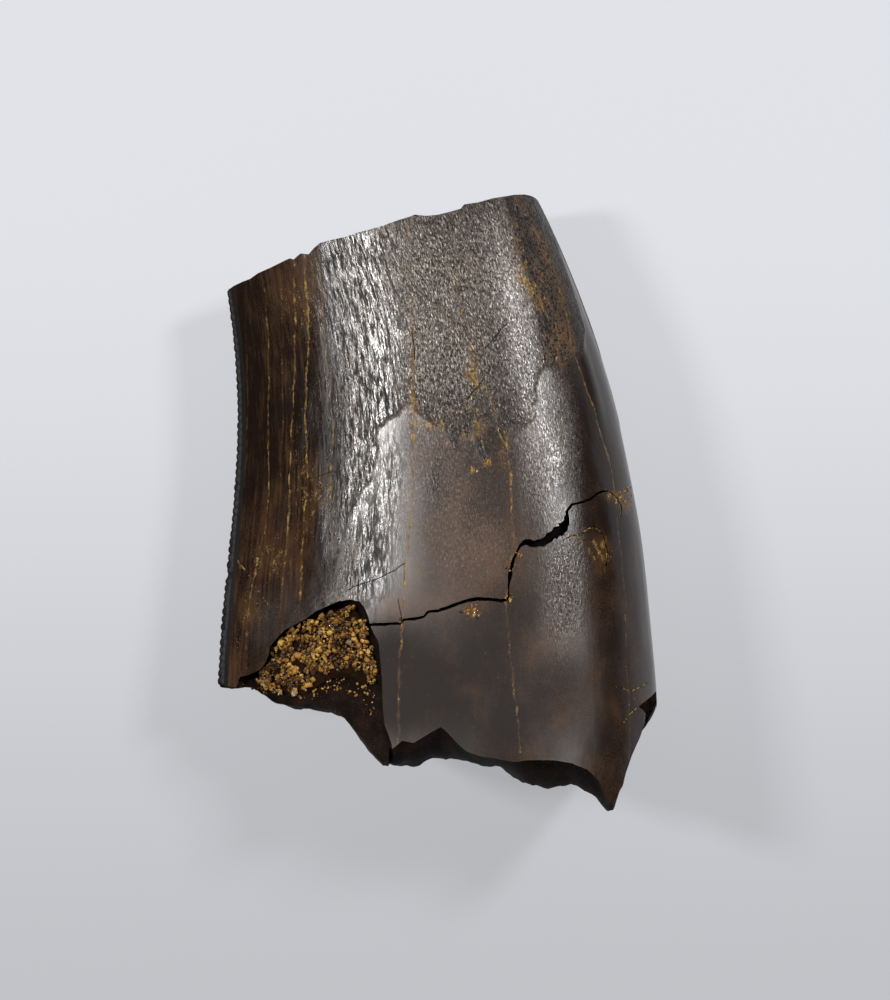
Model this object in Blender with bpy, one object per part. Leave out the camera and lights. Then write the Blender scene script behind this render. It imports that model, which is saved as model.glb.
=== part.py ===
"""Fossil tyrannosaur tooth: the middle of a recurved crown, broken across at both ends, lying on its far face.

Metres, +Z up. +X is across the crown, from the toothed rear edge at the left to the rounded front edge at the right.
+Y is along the crown towards the missing tip. The origin is under the middle of the piece, on the surface it lies on.
The outlines are written in pixels of the photograph, whose frame is 890 x 1000, and are scaled to the real length.
"""

import math

import bmesh
import bpy
import numpy as np
from mathutils import Vector, noise

MM = 0.001

# Driving sizes of the real piece.
LENGTH = 28.1 * MM
BASE_DEPTH_NEAR = 5.5 * MM
BASE_DEPTH_FAR = 5.1 * MM
TIP_DEPTH_NEAR = 4.0 * MM
TIP_DEPTH_FAR = 3.5 * MM
REST_FACET_SHARE = 0.06
DENTICLES = 51
DENTICLE_HEIGHT = 0.13 * MM
DENTICLE_REACH = 0.22 * MM
RIB_HEIGHT = 0.02 * MM
CRACK_DEPTH = 0.7 * MM
HOLLOW_DEPTH = 1.3 * MM
HOLLOW_RIM_DEPTH = 0.55 * MM
SAND_GAP = 0.3 * MM
SAND_SUNK = 0.15 * MM
SAND_GRAIN = 0.16 * MM
CHIP_SHELF = 0.5 * MM
BASE_ROUGHNESS = 0.45 * MM
TIP_ROUGHNESS = 0.3 * MM

# The photograph's frame: the middle of the piece in it, the piece's length, and two rows to measure depths from.
PHOTO_MIDDLE = (436.5, 500.8)
PHOTO_LENGTH = 611.0
PX = LENGTH / PHOTO_LENGTH
BASE_ROW = 700.0
TIP_ROW = 200.0

# Edges of the unbroken crown, as (column, row) of the photograph.
REAR_EDGE = (
    (213, 196), (228, 290), (235, 360), (238, 430), (236, 500), (229, 560), (222, 620), (220, 690), (222, 810),
)
FRONT_EDGE = (
    (536, 196), (564, 256), (588, 316), (603, 364), (625, 448), (642, 544), (652, 640), (657, 710), (659, 810),
)

# Where the crown is broken across, each line from its rear edge to its front edge: the break's edge on the near
# face, the line that it reaches in mid depth, and its edge on the far face.
BASE_NEAR = (
    (222, 686), (251, 690), (254, 698), (277, 704), (303, 704), (311, 700), (333, 709), (345, 717), (366, 740),
    (384, 760), (390, 742), (414, 741), (441, 725), (458, 742), (480, 754), (513, 760), (552, 758), (571, 761),
    (592, 770), (607, 800), (616, 793), (625, 768), (639, 737), (654, 719), (657, 700),
)
BASE_CORE = (
    (222, 686), (251, 688), (290, 704), (345, 716), (383, 763), (401, 767), (430, 760), (464, 759), (495, 765),
    (533, 786), (571, 783), (593, 795), (608, 806), (618, 788), (639, 736), (657, 700),
)
BASE_FAR = (
    (222, 686), (290, 690), (345, 706), (400, 742), (470, 738), (540, 760), (600, 764), (630, 742), (657, 700),
)
TIP_NEAR = (
    (228, 290), (250, 279), (290, 259), (301, 254), (309, 255), (320, 244), (357, 234), (411, 218), (438, 216),
    (461, 210), (492, 200), (513, 196), (534, 197), (539, 200),
)
TIP_CORE = ((228, 290), (270, 276), (330, 252), (400, 229), (460, 217), (510, 204), (539, 200))
TIP_FAR = ((228, 290), (270, 284), (340, 262), (420, 240), (480, 224), (539, 200))

# How the break swells from its edges to that mid-depth line, as shares of the way from the near face to the far one.
SWELL_PLACES = (0.0, 0.12, 0.3, 0.7, 1.0)
SWELL_AMOUNTS = (0.0, 0.75, 1.0, 0.45, 0.0)
CORE_PLACE = 0.3

# The crack across the near face, as (column, row, width in pixels).
CRACK = (
    (353, 626, 2), (371, 624, 4), (401, 622, 4), (415, 618, 3), (438, 610, 4), (466, 600, 4), (489, 598, 4),
    (507, 599, 3), (508, 585, 2), (510, 572, 5), (514, 556, 4), (521, 543, 7), (533, 544, 8), (546, 539, 10),
    (560, 530, 12), (567, 519, 7), (568, 508, 3), (574, 503, 3), (590, 499, 3), (607, 491, 2),
)

# The chipped hollow at the lower left, whose lower edge runs out over the break, and the sand that lies in it.
HOLLOW = (
    (240, 678), (255, 672), (266, 662), (271, 645), (286, 629), (307, 618), (327, 606), (350, 599), (362, 602),
    (369, 617), (378, 638), (382, 667), (383, 702), (382, 735), (387, 775), (300, 780), (246, 730),
)
HOLLOW_MIDDLE = (325, 680)
SAND = (
    (262, 676), (271, 664), (276, 649), (290, 635), (310, 624), (330, 612), (349, 606), (359, 612), (365, 630),
    (372, 650), (374, 672), (368, 685), (352, 677), (330, 678), (314, 688), (303, 694), (284, 692), (268, 686),
)
SAND_MIDDLE = (325, 655)

# The chip at the lower right, where the near face is gone down to about the crown's middle depth.
CHIP = ((675, 688), (654, 693), (637, 706), (645, 713), (641, 731), (634, 750), (675, 762))
CHIP_MIDDLE = (663, 716)

# How finely the solids are divided.
COLUMNS = 33
ROWS = 34
FINE_STEPS_A_ROW = 6
BREAK_STEPS = 8
HOLLOW_POINTS = 34
HOLLOW_RINGS = 5
RIM_CROWDING = 1.6
HOLLOW_WALL_SHARE = 0.076
SAND_POINTS = 40
SAND_RINGS = 9

# The section is a teardrop, share x root(1 - share) high, whose highest place is two thirds of the way across.
TEARDROP_PEAK = 2.0 / 3.0 * math.sqrt(1.0 / 3.0)
FAR_FULLNESS = 0.89
FAR_TURN = 0.6
FAR_PEAK = 0.38


def smooth_edge(points):
    """The column of a crown edge as a smooth function of the row."""
    columns, rows = np.array(points, float).T
    return np.polynomial.Polynomial.fit(rows, columns, 5)


REAR_COLUMN = smooth_edge(REAR_EDGE)
FRONT_COLUMN = smooth_edge(FRONT_EDGE)


def between(row, at_base, at_tip):
    """A size that changes evenly along the crown."""
    return at_base + (at_tip - at_base) * (BASE_ROW - row) / (BASE_ROW - TIP_ROW)


def share_across(column, row):
    """How far a place lies from the rear edge, at 0, to the front edge, at 1."""
    rear = REAR_COLUMN(row)
    return np.clip((column - rear) / (FRONT_COLUMN(row) - rear), 0.0, 1.0)


def turn_at(column, row):
    """The angle round the section of a place on the near face: 0 at the rear edge and pi at the front edge."""
    return 2.0 * np.arcsin(np.sqrt(share_across(column, row)))


def ribs(across):
    """The low lengthwise ribs of the enamel."""
    return RIB_HEIGHT * (np.cos(across / (0.62 * MM)) + 0.6 * np.cos(across / (0.29 * MM) + 1.0))


def crown(turn, row):
    """Points of the unbroken crown, as x, y and z, at angles round the section and rows of the photograph."""
    turn, row = np.broadcast_arrays(np.asarray(turn, float), np.asarray(row, float))
    share = np.sin(turn / 2.0) ** 2
    rear = REAR_COLUMN(row)
    width = (FRONT_COLUMN(row) - rear) * PX
    near_depth = between(row, BASE_DEPTH_NEAR, TIP_DEPTH_NEAR)
    far_depth = between(row, BASE_DEPTH_FAR, TIP_DEPTH_FAR)
    middle = far_depth * (1.0 - REST_FACET_SHARE)
    teardrop = share * np.sqrt(1.0 - share)
    fuller = teardrop + FAR_FULLNESS * share * (1.0 - share) * (FAR_TURN - share)
    edge_fade = np.clip(share * 8.0, 0.0, 1.0) * np.clip((1.0 - share) * 8.0, 0.0, 1.0)
    near = near_depth * teardrop / TEARDROP_PEAK + ribs(share * width) * edge_fade
    far = -far_depth * fuller / FAR_PEAK
    x = (rear - PHOTO_MIDDLE[0]) * PX + share * width
    y = (PHOTO_MIDDLE[1] - row) * PX
    z = np.maximum(middle + np.where(turn <= math.pi, near, far), 0.0)
    return np.stack([x, y, z], axis=-1)


def near_face(column, row):
    """The point of the near face at a place in the photograph."""
    return crown(turn_at(column, row), row)


def section_turns():
    """Angles from the rear edge to the front edge, evenly spaced over the surface, and one close to the rear edge."""
    fine = np.linspace(0.0, math.pi, 2000)
    points = crown(fine, (BASE_ROW + TIP_ROW) / 2.0)
    walked = np.concatenate([[0.0], np.cumsum(np.linalg.norm(np.diff(points, axis=0), axis=1))])
    stops = np.linspace(3.0 * DENTICLE_REACH, walked[-1], COLUMNS - 1)
    return np.interp(np.concatenate([[0.0, DENTICLE_REACH], stops]), walked, fine)


def break_rows(near, far, turns):
    """The row of a break's edge at each angle round the section."""
    near, far = np.array(near, float), np.array(far, float)
    near_turns = turn_at(near[:, 0], near[:, 1])
    far_turns = 2.0 * math.pi - turn_at(far[:, 0], far[:, 1])
    places = np.concatenate([near_turns, far_turns])
    rows = np.concatenate([near[:, 1], far[:, 1]])
    order = np.argsort(places, kind="stable")
    return np.interp(turns, places[order], rows[order])


def denticles(along):
    """How far the worn denticles stand out from the rear edge, with the places counted in denticles from the base."""
    lobe = np.abs(np.sin(math.pi * along)) ** 0.6
    less_worn_to_base = 1.0 - 0.4 * np.clip(along / DENTICLES * 1.6 - 0.4, 0.0, 1.0)
    return DENTICLE_HEIGHT * less_worn_to_base * lobe


def crown_columns(mesh, turns):
    """The vertices of the crown's sides, one list for each column, from base to tip. Those by the rear edge are fine."""
    base_rows = break_rows(BASE_NEAR, BASE_FAR, turns)
    tip_rows = break_rows(TIP_NEAR, TIP_FAR, turns)
    columns = []
    for number, turn in enumerate(turns):
        by_rear_edge = number in (0, 1, len(turns) - 1)
        steps = ROWS * FINE_STEPS_A_ROW if by_rear_edge else ROWS
        places = np.linspace(0.0, 1.0, steps + 1)
        points = crown(turn, base_rows[number] + (tip_rows[number] - base_rows[number]) * places)
        if number == 0:
            points[:, 0] -= denticles(places * DENTICLES)
        columns.append([mesh.verts.new(point) for point in points])
    return columns


def row_of(column, step):
    """The vertices of one row's stretch of a column, lower one first."""
    each = (len(column) - 1) // ROWS
    return column[step * each:(step + 1) * each + 1]


def side_faces(mesh, columns):
    for left, right in zip(columns, columns[1:] + columns[:1]):
        for step in range(ROWS):
            left_verts, right_verts = row_of(left, step), row_of(right, step)
            if len(left_verts) != len(right_verts):
                mesh.faces.new(right_verts + left_verts[::-1])
                continue
            for place in range(len(left_verts) - 1):
                after = place + 1
                mesh.faces.new((left_verts[place], right_verts[place], right_verts[after], left_verts[after]))


def break_strip(mesh, near, far, core, roughness):
    """Vertices across a break from its near edge to its far one, which swell to the core line in mid depth."""
    core_columns, core_rows = np.array(core, float).T
    row_near, row_far = (PHOTO_MIDDLE[1] - vert.co.y / PX for vert in (near, far))
    share = share_across(near.co.x / PX + PHOTO_MIDDLE[0], row_near)
    core_row = np.interp(share, share_across(core_columns, core_rows), core_rows)
    swell_rows = core_row - (row_near + (row_far - row_near) * CORE_PLACE)
    strip = [near]
    for step in range(1, BREAK_STEPS):
        depth = step / BREAK_STEPS
        place = near.co.lerp(far.co, depth)
        place.y -= swell_rows * float(np.interp(depth, SWELL_PLACES, SWELL_AMOUNTS)) * PX
        fade = min(1.0, 4.0 * depth, 4.0 * (1.0 - depth))
        place.y += roughness * fade * noise.fractal(Vector((place.x, roughness, place.z)) / (1.1 * MM), 0.8, 2.0, 3)
        strip.append(mesh.verts.new(place))
    return strip + [far]


def break_faces(mesh, rim, core, roughness, facing_base):
    """Closes one broken end, from the rim's near half to its far half."""
    last = len(rim) // 2
    strips = [[rim[0]] * (BREAK_STEPS + 1)]
    strips += [break_strip(mesh, rim[number], rim[-number], core, roughness) for number in range(1, last)]
    strips.append([rim[last]] * (BREAK_STEPS + 1))
    for left, right in zip(strips, strips[1:]):
        for step in range(BREAK_STEPS):
            corners = [left[step], right[step], right[step + 1], left[step + 1]]
            corners = [vert for place, vert in enumerate(corners) if vert not in corners[:place]]
            mesh.faces.new(corners[::-1] if facing_base else corners)


def stone_material(name, colour, roughness):
    material = bpy.data.materials.new(name)
    material.use_nodes = True
    shader = material.node_tree.nodes["Principled BSDF"]
    shader.inputs["Base Color"].default_value = (*colour, 1.0)
    shader.inputs["Roughness"].default_value = roughness
    shader.inputs["Metallic"].default_value = 0.0
    return material


def new_object(name, mesh, collection):
    """An object of these faces, all facing out."""
    bmesh.ops.recalc_face_normals(mesh, faces=mesh.faces)
    data = bpy.data.meshes.new(name)
    mesh.to_mesh(data)
    mesh.free()
    made = bpy.data.objects.new(name, data)
    collection.objects.link(made)
    return made


def make_tooth(collection):
    """The crown between its two breaks, before it is chipped and cracked."""
    mesh = bmesh.new()
    near_turns = section_turns()
    columns = crown_columns(mesh, np.concatenate([near_turns, 2.0 * math.pi - near_turns[-2:0:-1]]))
    side_faces(mesh, columns)
    break_faces(mesh, [column[0] for column in columns], BASE_CORE, BASE_ROUGHNESS, facing_base=True)
    break_faces(mesh, [column[-1] for column in columns], TIP_CORE, TIP_ROUGHNESS, facing_base=False)
    tooth = new_object("tooth", mesh, collection)
    tooth.data.materials.append(stone_material("fossil enamel", (0.035, 0.026, 0.021), 0.35))
    tooth.data.shade_smooth()
    tooth.data.set_sharp_from_angle(angle=math.radians(32.0))
    return tooth


def evenly(outline, count):
    """Points evenly spaced along a closed outline."""
    closed = np.array(outline + outline[:1], float)
    walked = np.concatenate([[0.0], np.cumsum(np.linalg.norm(np.diff(closed, axis=0), axis=1))])
    stops = np.linspace(0.0, walked[-1], count, endpoint=False)
    return np.stack([np.interp(stops, walked, closed[:, 0]), np.interp(stops, walked, closed[:, 1])], axis=-1)


def skin_over(mesh, ring, middle, rings, height_of):
    """Faces that close a ring of vertices, in rings that shrink to one vertex over the middle."""
    outline = np.array([(vert.co.x / PX + PHOTO_MIDDLE[0], PHOTO_MIDDLE[1] - vert.co.y / PX) for vert in ring])
    for number in range(1, rings):
        inwards = (number / rings) ** RIM_CROWDING
        places = outline + (np.array(middle) - outline) * inwards
        inner = []
        inner = ring_at(mesh, places, lambda point: height_of(point, inwards))
        join_rings(mesh, ring, inner)
        ring = inner
    (top,) = ring_at(mesh, [middle], lambda point: height_of(point, 1.0))
    for first, second in zip(ring, ring[1:] + ring[:1]):
        mesh.faces.new((first, second, top))


def join_rings(mesh, outer, inner):
    for place in range(len(outer)):
        after = (place + 1) % len(outer)
        mesh.faces.new((outer[place], outer[after], inner[after], inner[place]))


def ring_at(mesh, outline, height_of):
    """A ring of vertices over an outline of the photograph, at the height given for each point of the near face."""
    ring = []
    for column, row in outline:
        point = near_face(column, row)
        point[0] = (column - PHOTO_MIDDLE[0]) * PX
        point[2] = height_of(point)
        ring.append(mesh.verts.new(point))
    return ring


def hollow_floor(point, inwards):
    """The height of the hollow's floor, which drops to its full depth just inside its rim."""
    depth = HOLLOW_RIM_DEPTH + (HOLLOW_DEPTH - HOLLOW_RIM_DEPTH) * min(1.0, inwards / HOLLOW_WALL_SHARE)
    return point[2] - depth + 0.12 * MM * noise.noise(Vector(point) / (0.7 * MM))


def chip_floor(point, inwards):
    """The height of the chip's shelf, just over the crown's middle depth."""
    row = PHOTO_MIDDLE[1] - point[1] / PX
    middle = between(row, BASE_DEPTH_FAR, TIP_DEPTH_FAR) * (1.0 - REST_FACET_SHARE)
    return middle + CHIP_SHELF + 0.15 * MM * noise.noise(Vector(point) / (0.5 * MM))


def make_pit_cutter(name, collection, outline, middle, floor_of):
    """A cutter that takes away everything over a floor, inside an outline."""
    mesh = bmesh.new()
    over_all = BASE_DEPTH_NEAR + BASE_DEPTH_FAR + 2.0 * MM
    places = evenly(outline, HOLLOW_POINTS)
    top = ring_at(mesh, places, lambda point: over_all)
    rim = ring_at(mesh, places, lambda point: floor_of(point, 0.0))
    mesh.faces.new(top)
    join_rings(mesh, top, rim)
    skin_over(mesh, rim, middle, HOLLOW_RINGS, floor_of)
    return new_object(name, mesh, collection)


def make_crack_cutter(collection):
    """A cutter along the crack, as wide as the crack at the face and half as wide at its bottom."""
    mesh = bmesh.new()
    line = np.array([stop[:2] for stop in CRACK], float)
    widths = np.array([stop[2] for stop in CRACK], float)
    ahead = np.gradient(line, axis=0)
    sideways = np.stack([-ahead[:, 1], ahead[:, 0]], axis=-1) / np.linalg.norm(ahead, axis=1)[:, None]
    rings = []
    for place, side, width in zip(line, sideways, widths):
        ring = []
        for share, lift in ((0.5, 0.6 * MM), (-0.5, 0.6 * MM), (-0.25, -CRACK_DEPTH), (0.25, -CRACK_DEPTH)):
            point = near_face(*(place + side * width * share))
            point[2] += lift
            ring.append(mesh.verts.new(point))
        rings.append(ring)
    for first, second in zip(rings, rings[1:]):
        join_rings(mesh, first, second)
    mesh.faces.new(rings[0])
    mesh.faces.new(rings[-1])
    return new_object("crack_cutter", mesh, collection)


def make_sand(collection):
    """The cemented sand: a crust with a lumpy top, over the hollow's floor and clear of its walls."""
    mesh = bmesh.new()

    def underside(point, inwards=1.0):
        return point[2] - HOLLOW_DEPTH + SAND_GAP + 0.12 * MM * noise.noise(Vector(point) / (0.7 * MM))

    def top_side(point, inwards=1.0):
        grain = noise.noise(Vector(point) / (0.3 * MM))
        dip_to_rim = 0.35 * MM * (1.0 - min(1.0, inwards * 4.0))
        return point[2] - SAND_SUNK - dip_to_rim + SAND_GRAIN * grain

    places = evenly(SAND, SAND_POINTS)
    upper = ring_at(mesh, places, lambda point: top_side(point, 0.0))
    lower = ring_at(mesh, places, underside)
    join_rings(mesh, upper, lower)
    skin_over(mesh, upper, SAND_MIDDLE, SAND_RINGS, top_side)
    skin_over(mesh, lower, SAND_MIDDLE, 3, underside)
    sand = new_object("sand_matrix", mesh, collection)
    sand.data.materials.append(stone_material("cemented sand", (0.30, 0.17, 0.055), 0.85))
    return sand


def cut(tooth, cutter):
    """Takes the cutter's shape out of the tooth, and leaves the cutter as a hidden helper."""
    cutter.hide_render = True
    cutter.display_type = "WIRE"
    boolean = tooth.modifiers.new(cutter.name, "BOOLEAN")
    boolean.operation = "DIFFERENCE"
    boolean.solver = "EXACT"
    boolean.object = cutter


def new_collection(name):
    collection = bpy.data.collections.new(name)
    bpy.context.scene.collection.children.link(collection)
    return collection


def clear_scene():
    for old in list(bpy.data.objects):
        bpy.data.objects.remove(old, do_unlink=True)


def main():
    clear_scene()
    pieces = new_collection("fossil tooth")
    cutters = new_collection("cutters")
    cutters.hide_render = True
    tooth = make_tooth(pieces)
    cut(tooth, make_pit_cutter("hollow_cutter", cutters, HOLLOW, HOLLOW_MIDDLE, hollow_floor))
    cut(tooth, make_pit_cutter("chip_cutter", cutters, CHIP, CHIP_MIDDLE, chip_floor))
    cut(tooth, make_crack_cutter(cutters))
    make_sand(pieces)


main()
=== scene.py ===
import math

import bmesh
import bpy
import numpy as np
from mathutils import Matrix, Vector, noise


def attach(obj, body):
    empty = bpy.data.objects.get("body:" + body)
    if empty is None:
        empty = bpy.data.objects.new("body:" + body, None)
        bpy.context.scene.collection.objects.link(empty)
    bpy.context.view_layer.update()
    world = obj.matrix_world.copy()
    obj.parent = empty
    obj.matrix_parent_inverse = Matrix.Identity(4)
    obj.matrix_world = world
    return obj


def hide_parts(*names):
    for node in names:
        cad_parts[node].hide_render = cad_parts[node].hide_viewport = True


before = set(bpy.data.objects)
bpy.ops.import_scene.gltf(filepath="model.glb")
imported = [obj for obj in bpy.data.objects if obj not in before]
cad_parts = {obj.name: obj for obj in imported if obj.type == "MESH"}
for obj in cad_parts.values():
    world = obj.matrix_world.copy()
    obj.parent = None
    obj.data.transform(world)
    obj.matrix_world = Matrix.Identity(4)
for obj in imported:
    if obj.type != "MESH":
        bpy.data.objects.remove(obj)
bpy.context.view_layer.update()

bl_info = {
    "name": "Fossil tyrannosaur tooth",
    "version": (1, 0, 0),
    "blender": (4, 5, 0),
    "location": "3D View > Sidebar > Fossil",
    "description": "Broken crown of a fossil tyrannosaur tooth, with the sand in its chip and a photo stage",
    "category": "Add Mesh",
}

MM = 0.001

# The photograph's frame: its size, the middle of the piece in it and the piece's length in it.
PHOTO_SIZE = (890, 1000)
PHOTO_MIDDLE = (436.5, 500.8)
PHOTO_LENGTH = 611.0
LENGTH = 28.1 * MM
PX = LENGTH / PHOTO_LENGTH
BASE_ROW = 700.0
TIP_ROW = 200.0

# The crown's half depths, above and below the line from its rear edge to its front edge.
BASE_DEPTH_NEAR = 5.5 * MM
BASE_DEPTH_FAR = 5.1 * MM
TIP_DEPTH_NEAR = 4.0 * MM
TIP_DEPTH_FAR = 3.5 * MM
REST_FACET_SHARE = 0.06
REST_FACET_SOFTNESS = 0.03 * MM
TEARDROP_PEAK = 2.0 / 3.0 * math.sqrt(1.0 / 3.0)
FAR_FULLNESS = 0.89
FAR_TURN = 0.6
FAR_PEAK = 0.38
DENTICLES = 51
DENTICLE_HEIGHT = 0.085 * MM
DENTICLE_STOPS = (0.0, 0.05 * MM, 0.11 * MM, 0.18 * MM, 0.26 * MM)
CARINA_COLUMNS = 6
BITE_ROW = 575.0
BITE_REACH = 4.0
DENTICLE_SQUARENESS = 0.45
DENTICLE_WEAR = 0.35
DENTICLE_FADE = (0.02 * MM, 0.19 * MM)

# Heights of the enamel's own forms.
SKIN_STEP = 0.035 * MM
UNDULATION = 0.035 * MM
WRINKLE = 0.0025 * MM
FURROW_DEPTH = 0.003 * MM
FURROW_REACH = 1.4

# Its swells, lumps and wrinkles, as (height, how drawn out along the crown, size across, seed).
SWELLS = (UNDULATION, 0.45, 2.2 * MM, 1.7)
LUMPS = (0.12 * UNDULATION, 0.6, 0.6 * MM, 5.2)
WRINKLES = (WRINKLE, 0.35, 0.22 * MM, 2.9)

# The low ridge by the front edge: its height, its place and width as shares of the way across, and the rows
# where it rises and fades.
FRONT_RIDGE = 0.07 * MM
FRONT_RIDGE_SHARE = 0.955
FRONT_RIDGE_WIDTH = 0.012
FRONT_RIDGE_START = (285.0, 300.0)
FRONT_RIDGE_END = (380.0, 470.0)

# How the borders of the surface's fields waver, and what the far side has of the outer enamel, pits, ochre,
# frost and wear.
WAVER = 2.0
WAVER_SIZE = 0.9 * MM
SKIN_WAVER = 0.6
FAR_SKIN_SWING = 18.0
FAR_SKIN_SIZE = 3.5 * MM
FAR_SKIN_ROW = 480.0
FAR_SKIN_ROWS = 12.0
FAR_PITTED = 30.0
FAR_OCHRE = 0.15
FAR_FROST = 0.1
FAR_WORN = 0.7

# Where, in columns, the rear of the near face gives way to the rest of it: in its wrinkles, in its grooves
# and gloss, in its glassy plates, in its granules and in its streaks.
WRINKLED_COLUMNS = (310.0, 350.0)
LEFT_COLUMNS = (385.0, 425.0)
GLASSY_COLUMNS = (304.0, 344.0)
GRANULAR_COLUMNS = (385.0, 430.0)
STREAKY_COLUMNS = (300.0, 350.0)

# How far over and under the crown's two edges its near face gives way to its far one.
EDGE_REACH = 0.4 * MM

# The fields of the surface that the enamel's material reads as they are.
PAINTED_FIELDS = (
    "skin", "skin_fade", "frost_and_sheen", "worn", "pitted", "seam", "seam_strength", "ochre", "tone", "grainy",
)

# How finely the crown is divided, and the numbers of its materials.
NEAR_COLUMNS = 280
FAR_COLUMN_STEP = 5
ROWS = 210
BREAK_STEPS = 16
ENAMEL, DENTINE, CRACK_WALL, OCHRE_FILL, CARINA = range(5)

# Edges of the unbroken crown, as (column, row) of the photograph.
REAR_EDGE = (
    (213, 196), (228, 290), (235, 360), (238, 430), (236, 500), (229, 560), (222, 620), (220, 690),
    (222, 810),
)
FRONT_EDGE = (
    (536, 196), (564, 256), (588, 316), (603, 364), (625, 448), (642, 544), (652, 640), (657, 710),
    (659, 810),
)

# Where the crown is broken across, each line from its rear edge to its front edge: the break's edge on the
# near face, the line that it reaches in mid depth, and its edge on the far face.
BASE_NEAR = (
    (222, 685), (236, 687), (251, 689), (253, 696), (266, 700), (277, 704), (291, 705), (303, 704),
    (311, 700), (321, 706), (333, 709), (345, 717), (356, 729), (366, 740), (373, 751), (384, 761),
    (389, 757), (393, 747), (390, 742), (402, 739), (414, 741), (427, 733), (441, 725), (449, 732),
    (458, 742), (466, 749), (480, 754), (494, 756), (513, 760), (527, 758), (552, 758), (571, 761),
    (587, 768), (598, 780), (607, 800), (613, 802), (618, 789), (622, 784), (625, 768), (631, 751),
    (639, 737), (648, 728), (654, 719), (657, 700),
)
BASE_CORE = (
    (222, 686), (251, 688), (290, 704), (345, 716), (373, 751), (383, 763), (395, 767), (420, 764),
    (430, 759), (449, 757), (464, 759), (476, 762), (495, 765), (510, 772), (522, 781), (533, 786),
    (548, 787), (571, 783), (587, 791), (602, 804), (608, 807), (613, 804), (618, 788), (639, 736),
    (657, 700),
)
BASE_FAR = (
    (222, 686), (290, 690), (345, 706), (400, 742), (470, 738), (540, 760), (600, 764), (630, 742),
    (657, 700),
)
TIP_NEAR = (
    (228, 290), (236, 285), (250, 279), (258, 273), (270, 268), (281, 263), (290, 259), (294, 260),
    (301, 254), (309, 255), (314, 249), (320, 244), (330, 241), (345, 238), (357, 234), (370, 231),
    (384, 227), (398, 222), (411, 218), (415, 216), (426, 217), (438, 216), (450, 213), (461, 210),
    (464, 206), (478, 204), (492, 200), (502, 198), (513, 196), (524, 195), (534, 197), (539, 200),
)
TIP_CORE = ((228, 290), (270, 276), (330, 252), (400, 229), (460, 217), (510, 204), (539, 200))
TIP_FAR = ((228, 290), (270, 284), (340, 262), (420, 240), (480, 224), (539, 200))
ENDS = ((BASE_NEAR, BASE_FAR), (TIP_NEAR, TIP_FAR))
BASE_ROUGHNESS = 0.2 * MM
TIP_ROUGHNESS = 0.16 * MM
SWELL_PLACES = (0.0, 0.12, 0.3, 0.7, 1.0)
SWELL_AMOUNTS = (0.0, 0.75, 1.0, 0.45, 0.0)
CORE_PLACE = 0.3
BREAK_CROWDING = 1.15
BREAK_RIM = 5.0
BREAK_LUMP = 1.1 * MM
SPLINTER = 0.32 * MM
SPLINTER_SHARE = 0.1

# The open crack across the near face, as (column, row, width in pixels).
CRACK = (
    (350, 627, 2), (358, 625, 3), (371, 624, 4), (386, 623.5, 3.6), (401, 622.5, 3.2), (404, 619, 3),
    (415, 618, 3.4), (424, 616, 2.6), (428, 611, 3), (438, 610, 3.6), (450, 606, 4), (466, 600, 4.2),
    (478, 598, 4.4), (489, 598.5, 4.4), (501, 600, 4.4), (507, 599, 3), (508.5, 592, 1.6), (508, 585, 2.2),
    (509.5, 576, 4.6), (510, 571, 5), (512, 562, 3.4), (516, 552, 2.4), (520, 545, 4), (525, 542, 7),
    (533, 543.5, 8), (541, 542.5, 9), (549, 537.5, 11), (556, 532, 12), (562, 528, 13), (566, 521, 7),
    (566.5, 511, 3), (571, 504.5, 3.2), (581, 502, 3), (590, 499, 3), (596, 494, 2.6), (601, 491.5, 2.4),
    (608, 491, 1.5),
)

# Hairline cracks, dark, and cracks lined with ochre, each as (column, row) points with one width in pixels.
HAIRLINES = (
    (1.3, ((346, 591), (355, 586), (364, 583), (373, 580), (381, 577), (388, 573), (395, 570), (404, 563))),
    (1.2, ((466, 401), (472, 393), (477, 388), (484, 379))),
    (1.2, ((485, 349), (493, 340), (500, 331), (508, 323))),
    (1.4, ((577, 289), (585, 302), (592, 318), (599, 339))),
    (1.2, ((412, 332), (414, 345), (415, 361))),
    (1.1, ((398, 598), (401, 612), (402, 618))),
)
OCHRE_CRACKS = (
    (2.0, ((566, 538), (574, 535), (581, 533), (588, 528), (594, 527), (600, 531), (604, 541), (607, 553),
           (604, 573))),
    (1.4, ((578, 541), (586, 539.5), (594, 540))),
    (1.4, ((608, 492), (616, 497), (621, 507), (620, 518))),
    (1.3, ((611, 684), (621, 687), (631, 690), (640, 686), (647, 682))),
    (1.4, ((637, 706), (630, 712), (623, 721))),
    (1.2, ((310, 480), (318, 477), (334, 471))),
)

# The chipped hollow at the lower left, whose lower edge runs out over the break.
HOLLOW = (
    (240, 677), (248, 675), (255, 672), (262, 668), (266, 662), (269, 654), (271, 645), (279, 636),
    (286, 629), (296, 624), (307, 618), (316, 611), (327, 606), (338, 601), (350, 599), (360, 601),
    (365, 607), (369, 617), (371, 626), (375, 634), (379, 641), (380, 651), (381.5, 667), (382.5, 682),
    (383, 702), (385, 723), (392, 742), (398, 780), (300, 790), (236, 735), (232, 700),
)
HOLLOW_MIDDLE = (325, 680)
HOLLOW_GRID = (160, 14)

# The chip at the lower right, where the near face is gone down to about the crown's middle depth. The grids
# of the two floors are points round the outline and rings inside it.
CHIP = (
    (678, 686), (657, 690), (652, 695), (644, 701), (637, 706), (642, 709), (645, 713), (644, 721),
    (641, 731), (636, 745), (678, 762),
)
CHIP_MIDDLE = (663, 716)
CHIP_GRID = (70, 8)

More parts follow.
